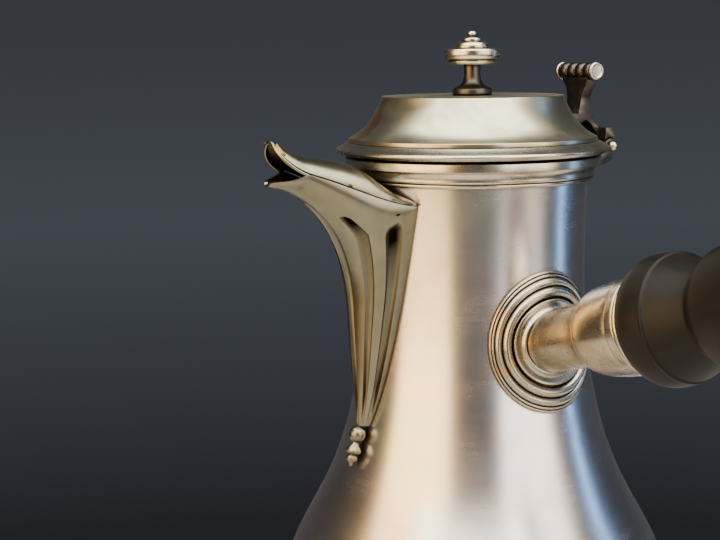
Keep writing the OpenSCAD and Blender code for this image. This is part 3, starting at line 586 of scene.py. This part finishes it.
us = list(np.linspace(0, 1, 61)) + list(np.linspace(1, 1.95, 31)[1:])
cover = soften(wrapped("spout_hood", cover_point, us, list(np.linspace(-90, 90, 73))), 56, 74, 25)
cover = thickened(cover, spout_wall, (-50, 0, rim_h - 12))
fitted(cover, spout_silver, "pot", "silver", "spout_cover", smooth=50, inner=spout_dark)

# the hood's edge is turned over and rounded
side_edge = [hood(t) for t in np.linspace(0, 0.96, 25)]
hood_edge = ([Vector((-x, -0.94 * y, z - 0.3)) for x, y, z in side_edge]
             + [Vector((-side_edge[-1][0] - 0.1, 0, side_edge[-1][2] + 0.35))]
             + [Vector((-x, 0.94 * y, z - 0.3)) for x, y, z in side_edge[::-1]])
edge_r = 0.6


def hood_edge_point(k, a):
    """A point of the rolled edge: k counts its rings and a is the angle round it."""
    step = hood_edge[min(k + 1, len(hood_edge) - 1)] - hood_edge[max(k - 1, 0)]
    up = step.cross(Vector((-0.7, 0, -0.7))).normalized()
    side = step.cross(up).normalized()
    return hood_edge[k] + (up * math.cos(math.radians(a)) + side * math.sin(math.radians(a))) * edge_r


rolled_edge = wrapped("hood_rolled_edge", hood_edge_point, list(range(len(hood_edge))),
    list(np.linspace(0, 360, 17)), tube=True)
fitted(rolled_edge, spout_silver, "pot", "silver", "spout_cover", smooth=60)

drop_r = 2.8
drop_outline = ([(0, 0)] + arc(0, drop_r, drop_r, drop_r, -90, 66, 20)[1:]
                + [(1.15, 5.6), (1.35, 6.1), (1.85, 6.8), (2.35, 7.5), (2.6, 8.2), (2.5, 8.7), (2.0, 9.1),
                   (1.15, 9.35), (1.35, 9.7), (1.75, 10.2), (1.85, 10.7), (1.7, 11.3), (1.2, 11.8),
                   (0.75, 12.2), (0.6, 12.7), (0.45, 13.3), (0, 13.6)])
drop_lean = math.atan((body_r(spout_bottom - 12) - body_r(spout_bottom)) / 12)
drop_place = (Matrix.Translation(Vector((-body_r(spout_bottom - drop_r) - drop_r - 0.15, 0,
              spout_bottom - drop_r)) * MM)
              @ Matrix.Rotation(drop_lean, 4, "Y") @ Matrix.Scale(-1, 4, (0, 0, 1))
              @ Matrix.Translation((0, 0, -drop_r * MM)))
drop = turned("spout_drop_finial", drop_outline, steps=48, ease=0.15)


def placed(piece, place):
    """Moves a piece to its place and lets its faces point outwards again."""
    piece.matrix_world = place
    bpy.ops.object.select_all(action="DESELECT")
    piece.select_set(True)
    bpy.context.view_layer.objects.active = piece
    bpy.ops.object.transform_apply(location=True, rotation=True, scale=True)
    bpy.ops.object.mode_set(mode="EDIT")
    bpy.ops.mesh.select_all(action="SELECT")
    bpy.ops.mesh.normals_make_consistent(inside=False)
    bpy.ops.object.mode_set(mode="OBJECT")
    return piece


fitted(placed(drop, drop_place), spout_silver, "pot", "silver", "spout_drop")

# ---------------------------------------------------------------- feet
# Three cast legs stand on round pads. Each springs from a chased shield that is soldered to the belly.
handle_dir = 274
foot_dirs = [handle_dir + 120 * k for k in range(3)]
shield_z, shield_t = belly_h - 16, 1.6
pad_x, pad_r, pad_h, leg_root_r = 66, 6, 2, 6


def shield_point(turn, a, scale, lift):
    """A point of a shield: a three-lobed outline at a scale, lifted off the belly."""
    r = (13 + 3 * math.cos(math.radians(3 * (a - 90)))) * scale
    sideways, up = r * math.cos(math.radians(a)) * 0.85, r * math.sin(math.radians(a))
    return on_body(turn + math.degrees(sideways / body_r(shield_z + up)), shield_z + up, lift)


shield_rings = ([(0.02 + 0.98 * k / 8, -0.1) for k in range(9)]
                + [(1, 0.6), (0.99, 0.78), (0.96, 0.85), (0.93, 0.78), (0.915, 0.55), (0.88, 0.5),
                (0.86, 0.6), (0.85, 1.1), (0.835, 1.35), (0.80, 1.5)]
                + [(0.74 - 0.72 * k / 10, shield_t) for k in range(11)])


def leg_at(t):
    """Middle line of a leg, from its shield to its pad: (out, height)."""
    start = on_body(0, shield_z - 4, shield_t)
    x, z = start[0] + 2, start[2] - 2
    return Vector((curve(t, x, x + 14, pad_x - 12, pad_x), curve(t, z, z - 4, 16, pad_h)))


def leg_point(turn, t, a):
    """A point of a leg; t below 0 is its root on the shield and above 1 the underside of its pad."""
    a, turn_a = math.radians(a), math.radians(turn)
    if t < 0:
        z = shield_z - 4 + leg_root_r * math.cos(a)
        return on_body(turn + math.degrees(leg_root_r * math.sin(a) / body_r(z)), z, shield_t - 0.1)
    p, step = leg_at(min(t, 1)), leg_at(min(t, 1)) - leg_at(min(t, 1) - 0.02)
    across = Vector((1, 0)) if t >= 1 else Vector((-step.y, step.x)).normalized()
    r = curve(min(t, 1), leg_root_r, 4.6, 1.4, pad_r)
    out, side, up = p.x + across.x * r * math.cos(a), r * math.sin(a), p.y + across.y * r * math.cos(a)
    return (out * math.cos(turn_a) - side * math.sin(turn_a),
            out * math.sin(turn_a) + side * math.cos(turn_a), up - (pad_h if t > 1 else 0))


round_angles = list(np.linspace(0, 360, 73))
for k, turn in enumerate(foot_dirs):
    shield = wrapped(f"foot_shield_plate_{k + 1}", lambda u, q: shield_point(turn, q, *shield_rings[u]),
                     list(range(len(shield_rings))), round_angles, tube=True)
    fitted(shield, mount_silver, "pot", "silver", f"foot_shield_{k + 1}", smooth=40)
    leg = wrapped(f"foot_leg_{k + 1}", lambda u, q: leg_point(turn, u, q),
                  [-1] + list(np.linspace(1 / 36, 1, 36)) + [1.01], list(np.linspace(0, 360, 49)),
                  tube=True)
    fitted(leg, mount_silver, "pot", "silver", f"foot_{k + 1}", smooth=45)

# ---------------------------------------------------------------- handle
# A moulded round plate carries the socket that grips the turned wood. The silver here has gone
# brown from hands and polish. The wood is dark, satin and pinned through the socket.
handle_tilt, handle_drop, plate_r, tube_r, socket_end, handle_end = 15.1, 68.3, 22.5, 9.9, 85, 188
plate_side = 0.915      # the plate is a little narrower round the neck than it is high
handle_z = rim_h - handle_drop
plate_z = handle_z + body_r(handle_z) * math.tan(math.radians(handle_tilt))
hole_r = tube_r / math.cos(math.radians(handle_tilt)) + 0.15
# silver rubbed by the hand: a soft shine with brown and orange clouds
handle_silver = aged_silver("browned_silver", "#BCB7A6", ["#BF9560", "#A09C8A", "#ADA198", "#93928A"],
                            ["#7C5027", "#140D08"], rough=0.26, film_mm=16, film_share=0.65,
                            recess_mm=0.7, blotch=0.3)

plate_outline = ([(hole_r - 0.6, -0.1), (plate_r, -0.1), (plate_r, 0.9)]
                 + arc(plate_r - 0.45, 0.9, 0.45, 0.6, 0, 170, 8)
                 + arc(plate_r - 1.4, 1.5, 0.5, 0.65, 10, 170, 8)
                 + [(plate_r - 1.95, 1.6)]
                 + arc(plate_r - 3.35, 1.9, 1.35, 1.35, 5, 165, 14)
                 + [(plate_r - 4.72, 2.75)]
                 + arc(plate_r - 6.4, 2.4, 1.65, 1.8, 5, 172, 14)
                 + [(plate_r - 8.1, 1.5), (plate_r - 8.5, 1.5)]
                 + arc(plate_r - 9.0, 3.0, 0.4, 0.6, 0, 90, 6)
                 + [(plate_r - 9.6, 3.5), (plate_r - 10.3, 3.15), (hole_r + 0.9, 2.75),
                    (hole_r + 0.45, 2.95), (hole_r - 0.1, 3.7), (hole_r - 0.6, 3.7)])
plate_outline = eased(plate_outline, 0.15, 40)
plate_outline = plate_outline + plate_outline[:1]


def plate_point(step, a):
    """A point of the round plate, bent to the neck: step counts its outline's points."""
    r, lift = plate_outline[step]
    a = math.radians(a)
    side = r * (1 - (1 - plate_side) * (r - hole_r) / (plate_r - hole_r))
    return on_body(handle_dir + math.degrees(side * math.sin(a) / body_r(plate_z)),
                   plate_z + r * math.cos(a), lift)


plate = wrapped("handle_round_plate", plate_point, list(range(len(plate_outline))),
    list(np.linspace(0, 360, 145)))
fitted(plate, handle_silver, "pot", "silver", "handle_plate", smooth=50)

along_handle = (Matrix.Translation((0, 0, handle_z * MM))
                @ Matrix.Rotation(math.radians(handle_dir), 4, "Z")
                @ Matrix.Rotation(math.radians(90 - handle_tilt), 4, "Y"))
cup_l = 20
cup_start = socket_end - cup_l
socket_start = neck_r - 1.5
socket_outline = ([(tube_r, socket_start), (tube_r, socket_start + 4.2),
                   (tube_r + 0.7, socket_start + 4.7), (tube_r + 0.2, socket_start + 5.6),
                   (tube_r - 0.05, socket_start + 8), (tube_r - 0.1, socket_start + 14),
                   (tube_r + 0.1, cup_start - 12), (tube_r + 0.4, cup_start - 7.5),
                   (tube_r + 0.9, cup_start - 4), (tube_r + 1.6, cup_start - 1.6),
                   (tube_r + 1.9, cup_start - 0.8), (tube_r + 1.2, cup_start - 0.35),
                   (tube_r + 2.1, cup_start + 0.1)]
                  + [(tube_r + 2.3 + 2.6 * math.sin(a), cup_start + cup_l * (1 - math.cos(a)))
                     for a in np.radians(np.linspace(9, 78, 16))]
                  + [(tube_r + 4.65, socket_end - 3.2), (tube_r + 4.72, socket_end - 2.9),
                     (tube_r + 4.9, socket_end - 2.6), (tube_r + 4.9, socket_end),
                     (tube_r + 3.9, socket_end), (tube_r + 3.7, socket_end - 3),
                     (tube_r - 1, cup_start), (tube_r - 1, socket_start), (tube_r, socket_start)])
socket = placed(turned("handle_socket_tube", socket_outline, steps=96, ease=0.12), along_handle)
fitted(socket, handle_silver, "pot", "silver_dark", "handle_socket")

mouth_r, collar_w = tube_r + 4.9, 3.4
collar_outline = ([(mouth_r - 3, 0), (mouth_r + 0.1, 0)] + arc(mouth_r + 0.1, 0.65, 0.65, 0.65, -90, 90, 8)
                  + [(mouth_r, 1.45)]
                  + arc(mouth_r + 0.2, 2.35, 1.0, 0.85, -80, 80, 10)
                  + [(mouth_r + 0.5, collar_w), (mouth_r - 3, collar_w), (mouth_r - 3, 0)])
collar_place = along_handle @ Matrix.Translation((0, 0, socket_end * MM))
collar = placed(turned("socket_ring", collar_outline, steps=96, ease=0.12), collar_place)
fitted(collar, handle_silver, "pot", "silver_dark", "socket_collar")

# turned hardwood, stained almost black: a dull sheen over a tight straight grain along the handle
wood = bpy.data.materials.new("dark_turned_hardwood")
wood.use_nodes = True
tree = wood.node_tree
shader = tree.nodes["Principled BSDF"]
place = add(tree, "ShaderNodeTexCoord").outputs["Object"]
grain_line = add(tree, "ShaderNodeMapping", {"Vector": place, "Location": (0, 0, handle_z * MM),
                                            "Rotation": (0, -math.radians(handle_tilt),
                                            math.radians(handle_dir))},
                 vector_type="TEXTURE")
long_grain = add(tree, "ShaderNodeMapping", {"Vector": grain_line.outputs["Vector"],
    "Scale": (0.10, 1.0, 1.0)})
figure = add(tree, "ShaderNodeTexNoise", {"Vector": long_grain.outputs["Vector"], "Scale": 1 / (7 * MM),
                                         "Detail": 5.0, "Roughness": 0.6, "Distortion": 0.5})
pores = add(tree, "ShaderNodeTexNoise", {"Vector": long_grain.outputs["Vector"], "Scale": 1 / (0.8 * MM),
                                        "Detail": 3.0, "Roughness": 0.7})
wood_ramp = add(tree, "ShaderNodeValToRGB", {"Fac": figure.outputs["Fac"]})
wood_ramp.color_ramp.elements[0].position, wood_ramp.color_ramp.elements[0].color = 0.32, paint("#060505")
wood_ramp.color_ramp.elements[1].position, wood_ramp.color_ramp.elements[1].color = 0.72, paint("#15110E")
wood_ramp.color_ramp.elements.new(0.52).color = paint("#0B0908")
pore_share = add(tree, "ShaderNodeMapRange", {"Value": pores.outputs["Fac"], "From Min": 0.50,
                                              "From Max": 0.70, "To Min": 0.0, "To Max": 0.55})
wood_colour = add(tree, "ShaderNodeMix", {"Factor": pore_share.outputs["Result"],
                                          "A": wood_ramp.outputs["Color"],
                                          "B": paint("#070504")}, data_type="RGBA")
tree.links.new(wood_colour.outputs["Result"], shader.inputs["Base Color"])
wood_dull = add(tree, "ShaderNodeMapRange", {"Value": figure.outputs["Fac"], "To Min": 0.42,
    "To Max": 0.60})
tree.links.new(wood_dull.outputs["Result"], shader.inputs["Roughness"])
shader.inputs["IOR"].default_value = 1.5
shader.inputs["Specular IOR Level"].default_value = 0.2
wood_bump = add(tree, "ShaderNodeBump", {"Height": pores.outputs["Fac"], "Strength": 0.35,
    "Distance": 0.05 * MM})
tree.links.new(wood_bump.outputs["Normal"], shader.inputs["Normal"])

bead_r, grip_r, neck_of_grip = 19.5, 20, 14.4
wood_start = socket_end + collar_w
bead_mid = wood_start + 6.6
waist_at = bead_mid + 19
grip_mid = waist_at + 0.4 * (handle_end - waist_at)
wood_outline = ([(0, wood_start), (mouth_r + 0.4, wood_start), (mouth_r + 1.6, wood_start + 0.4),
                (mouth_r + 2.2, wood_start + 0.9)]
                + [(curve(t, mouth_r + 2.2, mouth_r + 3.6, bead_r - 0.1, bead_r),
                    curve(t, wood_start + 0.9, wood_start + 2.2, bead_mid - 2.8, bead_mid))
                    for t in np.linspace(0, 1, 13)[1:]]
                + [(bead_r - 0.1, bead_mid + 2.6), (bead_r - 0.35, bead_mid + 4.6),
                   (bead_r - 0.55, bead_mid + 5.9), (bead_r - 0.35, bead_mid + 6.25),
                   (bead_r - 0.4, bead_mid + 6.7), (bead_r - 1.05, bead_mid + 7.1)]
                + [(curve(t, bead_r - 1.1, bead_r - 2.2, neck_of_grip + 0.5, neck_of_grip),
                    curve(t, bead_mid + 7.3, bead_mid + 10.5, waist_at - 2.5, waist_at))
                    for t in np.linspace(0, 1, 13)[1:]]
                + [(curve(t, neck_of_grip, neck_of_grip + 0.2, neck_of_grip + 3.2, neck_of_grip + 3.6),
                    curve(t, waist_at, waist_at + 2, waist_at + 4, waist_at + 7))
                    for t in np.linspace(0, 1, 9)[1:]]
                + [(curve(t, neck_of_grip + 3.6, neck_of_grip + 4.6, grip_r, grip_r),
                    curve(t, waist_at + 7, waist_at + 12, grip_mid - 12, grip_mid))
                    for t in np.linspace(0, 1, 17)[1:]]
                + [(grip_r - 13 + 13 * math.cos(a), grip_mid + (handle_end - grip_mid) * math.sin(a))
                   for a in np.radians(np.linspace(0, 90, 25)[1:])]
                + [(0, handle_end)])
grip = placed(turned("wooden_grip", wood_outline, steps=128, ease=0.25), along_handle)
fitted(grip, wood, "pot", "wood", "wooden_handle", smooth=30)

pin_s = cup_start + 6
pin_half = tube_r + 3.65
pin_outline = [(0, -pin_half - 0.35), (0.5, -pin_half - 0.3), (0.9, -pin_half - 0.1),
               (1, -pin_half + 0.2), (1, pin_half - 0.2), (0.9, pin_half + 0.1),
               (0.5, pin_half + 0.3), (0, pin_half + 0.35)]
pin_place = along_handle @ Matrix.Translation((0, 0, pin_s * MM)) @ Matrix.Rotation(math.pi / 2, 4, "Y")
fitted(placed(turned("socket_pin", pin_outline, steps=32, ease=0), pin_place), handle_silver, "pot",
    "silver_dark", "handle_pin")

# ---------------------------------------------------------------- hinge
# Filed silver blocks with drilled knuckles are soldered to the rim and to the lid's leaf. A drawn
# pin with ball ends runs through them. The blocks are dark where the cloth never reaches.

# cast silver with its oxide left on: dark grey-brown, dull, and lighter only where it catches a light
cast_silver = aged_silver("oxidised_cast_silver", "#5C5851", ["#4C473F", "#464441", "#524C4B"],
                          ["#33271C", "#0B0908"], rough=0.33, film_mm=10, film_share=0.7, recess_mm=2.4,
                          blotch=0.6)


def filed(name, node, edge):
    """Copies a CAD block, joins its loose triangles and files its edges round."""
    bpy.ops.object.select_all(action="DESELECT")
    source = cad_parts[node]
    piece = bpy.data.objects.new(name, source.data.copy())
    bpy.context.collection.objects.link(piece)
    bpy.context.view_layer.objects.active = piece
    piece.select_set(True)
    bpy.ops.object.mode_set(mode="EDIT")
    bpy.ops.mesh.select_all(action="SELECT")
    bpy.ops.mesh.remove_doubles(threshold=0.002 * MM)
    bpy.ops.mesh.dissolve_limited(angle_limit=math.radians(1.5))
    bpy.ops.object.mode_set(mode="OBJECT")
    bevel = piece.modifiers.new("filed", "BEVEL")
    bevel.width, bevel.segments = edge * MM, 3
    bevel.limit_method, bevel.angle_limit = "ANGLE", math.radians(28)
    bpy.ops.object.modifier_apply(modifier=bevel.name)
    return piece


filed_r = 0.25
fitted(filed("hinge_block", "hinge_bracket", filed_r), cast_silver, "pot", "silver", "hinge_bracket",
    smooth=40)
pin_x, pin_z, pin_r, knuckle_w, knuckle_gap = 51, rim_h + 0.9, 1.1, 3.7, 0.3
hinge_w = 5 * knuckle_w + 4 * knuckle_gap
across_hinge = Matrix.Translation((pin_x * MM, 0, pin_z * MM)) @ Matrix.Rotation(math.pi / 2, 4, "X")
pin = turned("hinge_wire", [(0, -hinge_w / 2), (pin_r, -hinge_w / 2), (pin_r, hinge_w / 2),
    (0, hinge_w / 2)], steps=32, ease=0.1)
fitted(placed(pin, across_hinge), cast_silver, "pot", "silver", "hinge_pin")
ball_outline = [(0, 0), (1.2, 0)] + arc(0, 1.05, 1.6, 1.6, -40, 90, 14)
balls = []
for side in (-1, 1):
    ball = turned("hinge_ball", ball_outline, steps=40, ease=0)
    balls.append(placed(ball, Matrix.Translation((pin_x * MM, side * hinge_w / 2 * MM, pin_z * MM))
        @ Matrix.Rotation(-side * math.pi / 2, 4, "X")))


def joined(name, pieces):
    """Makes one piece of several."""
    bpy.ops.object.select_all(action="DESELECT")
    for piece in pieces:
        piece.select_set(True)
    bpy.context.view_layer.objects.active = pieces[0]
    bpy.ops.object.join()
    pieces[0].name = name
    return pieces[0]


fitted(joined("hinge_balls", balls), mount_silver, "pot", "silver", "hinge_pin_ends")

# ---------------------------------------------------------------- lid
# The lid is raised with a hollow shoulder and a flat top, and stands in a moulded flange. A bezel
# under it fits in the neck. Its satin is champagne, with a cloudy brown and yellow-green film.
lid_top_r, flange_r = 30.1, 45.6
lid_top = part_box("lid_shell")[1].z / MM
flange_bottom, flange_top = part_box("lid_flange")[0].z / MM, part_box("lid_flange")[1].z / MM
skirt_r = flange_r - 4.4
bezel_r = body_r(rim_h) - wall - 0.8
screw_r = 1.5
# raised and satined silver: wide soft highlights and a yellow-green film
lid_silver = aged_silver("champagne_lid_silver", "#C2BDA9", ["#B4955F", "#ABA68C", "#BAB8A2", "#A3AA98"],
                         ["#7A5A35", "#17110D"], rough=0.29, film_mm=26, film_share=0.85, recess_mm=1.5,
                         blotch=0.45)
shoulder = [(curve(t, skirt_r, skirt_r - 4.7, lid_top_r + 2.3, lid_top_r),
            curve(t, flange_top + 1.4, flange_top + 3.3, lid_top - 6.9, lid_top))
            for t in np.linspace(0, 1, 33)]
under = offset(shoulder, wall)
lid_outline = ([(skirt_r, flange_top - 0.02)] + shoulder + [(screw_r + 0.1, lid_top),
               (screw_r + 0.1, lid_top - wall)]
               + [(under[-1][0] - 0.6, lid_top - wall)] + under[::-1][1:]
               + [(skirt_r - wall, flange_top), (skirt_r, flange_top - 0.02)])
fitted(turned("lid_raised_shell", lid_outline, steps=160, ease=0.5), lid_silver, "lid", "silver",
    "lid_shell")
flange_outline = ([(bezel_r, flange_bottom), (flange_r - 2.8, flange_bottom),
                  (flange_r - 1.2, flange_bottom + 0.2), (flange_r - 0.5, rim_h + 0.95)]
                  + arc(flange_r - 0.85, rim_h + 1.7, 0.85, 0.75, -50, 80, 10)
                  + [(flange_r - 1.9, rim_h + 3.1), (flange_r - 3.1, flange_top - 0.35),
                     (flange_r - 3.5, flange_top - 0.05), (skirt_r, flange_top),
                     (bezel_r, flange_top), (bezel_r, flange_bottom)])
fitted(turned("lid_flange_moulding", flange_outline, steps=160, ease=0.2), mount_silver, "lid", "silver",
    "lid_flange")
bezel_outline = [(bezel_r - wall, flange_top), (bezel_r, flange_top), (bezel_r, rim_h - 1),
                 (bezel_r - 0.5, rim_h - 6), (bezel_r - wall - 0.5, rim_h - 6),
                 (bezel_r - wall, flange_top)]
fitted(turned("lid_bezel_ring", bezel_outline, ease=0.25), mount_silver, "lid", "silver", "lid_bezel")
fitted(filed("lid_hinge_leaf", "lid_leaf", filed_r), cast_silver, "lid", "silver", "lid_leaf", smooth=40)

# ---------------------------------------------------------------- thumbpiece
# A cast upright rises from the leaf and carries a ribbed roller between two bright end caps.
roller_x, roller_z, roller_r, roller_w, cap_w = 44.8, rim_h + 26.6, 3.0, 19.6, 1.4
fitted(filed("thumb_upright", "thumb_bracket", 0.3), cast_silver, "lid", "silver", "thumb_bracket",
    smooth=40)
rib_count = 4
rib_w = (roller_w - 2 * cap_w) / rib_count
roller_outline = [(0, 0)]
for k in range(rib_count):
    roller_outline += [(roller_r - 0.9, k * rib_w)] + arc(roller_r - 0.9, (k + 0.5) * rib_w, 0.85,
        rib_w * 0.46, -80, 80, 12)
roller_outline += [(roller_r - 0.75, rib_count * rib_w), (0, rib_count * rib_w)]
roller_place = (Matrix.Translation((roller_x * MM, 0, roller_z * MM)) @ Matrix.Rotation(math.pi / 2, 4, "X")
                @ Matrix.Translation((0, 0, (cap_w - roller_w / 2) * MM)))
fitted(placed(turned("thumb_roller_ribbed", roller_outline, steps=64, ease=0), roller_place), cast_silver,
    "lid", "silver", "thumb_roller")
cap_outline = [(0, 0), (roller_r - 0.2, 0), (roller_r, 0.3), (roller_r, cap_w - 0.3),
               (roller_r - 0.3, cap_w), (roller_r - 0.7, cap_w),
               (roller_r - 1.0, cap_w - 0.35), (0, cap_w - 0.3)]
caps = []
for side in (-1, 1):
    cap = turned("roller_cap", cap_outline, steps=64, ease=0.12)
    caps.append(placed(cap, Matrix.Translation((roller_x * MM, side * (roller_w / 2 - cap_w) * MM,
                       roller_z * MM))
                       @ Matrix.Rotation(-side * math.pi / 2, 4, "X")))
fitted(joined("roller_end_caps", caps), mount_silver, "lid", "silver", "roller_caps")

# ---------------------------------------------------------------- finial
# A turned foot and stem, a wide knob and a button are strung on one screw, held by a nut in the lid.
knob_r, stem_h = 9.7, 10.1
on_lid = Matrix.Translation((0, 0, lid_top * MM))
bore = screw_r + 0.05
foot_outline = ([(bore, 0), (6.1, 0), (6.55, 0.5), (6.55, 2), (6, 2.5), (5.1, 2.9)]
                + [(curve(t, 5.1, 3.4, 2.65, 2.65), curve(t, 2.9, 3.4, 5.2, 7.6))
                for t in np.linspace(0, 1, 13)[1:]]
                + [(2.8, stem_h), (bore, stem_h), (bore, 0)])
fitted(placed(turned("finial_stem", foot_outline, steps=96, ease=0.2), on_lid), cast_silver, "lid",
    "silver_dark", "finial_foot")
knob_outline = ([(bore, stem_h), (knob_r - 2.4, stem_h), (knob_r - 1.6, stem_h + 0.7),
                (knob_r - 1.4, stem_h + 1.3), (knob_r - 2.0, stem_h + 1.5), (knob_r - 1.2, stem_h + 1.7)]
                + [(curve(t, knob_r - 1.0, knob_r - 0.2, knob_r, knob_r),
                curve(t, stem_h + 1.8, stem_h + 2.2, stem_h + 3.0, stem_h + 3.8))
                for t in np.linspace(0, 1, 8)]
                + [(knob_r, stem_h + 4.7), (knob_r - 0.4, stem_h + 5.2), (5.5, stem_h + 5.2)]
                + [(curve(t, 5.6, 5.7, 5.2, 4.2),
                    curve(t, stem_h + 5.5, stem_h + 6.6, stem_h + 7.3, stem_h + 7.6))
                   for t in np.linspace(0, 1, 8)]
                + [(bore, stem_h + 7.6), (bore, stem_h)])
fitted(placed(turned("finial_knob_disc", knob_outline, steps=128, ease=0.2), on_lid), mount_silver, "lid",
    "silver", "finial_knob")
nut_top = lid_top - wall - 0.02
button = ([(0, nut_top - 5), (screw_r, nut_top - 5), (screw_r, lid_top + stem_h + 7.6)]
          + [(3.1, lid_top + stem_h + 7.6), (3.3, lid_top + stem_h + 7.9), (3.3, lid_top + stem_h + 8.5),
          (3.0, lid_top + stem_h + 8.8), (0.9, lid_top + stem_h + 9.0)]
          + arc(0, lid_top + stem_h + 10.2, 1.65, 1.05, -55, 90, 12))
fitted(turned("finial_button_screw", button, steps=64, ease=0.1), mount_silver, "lid", "silver",
    "finial_screw")
fitted(filed("lid_nut", "finial_nut", 0.2), cast_silver, "lid", "silver", "finial_nut", smooth=30)
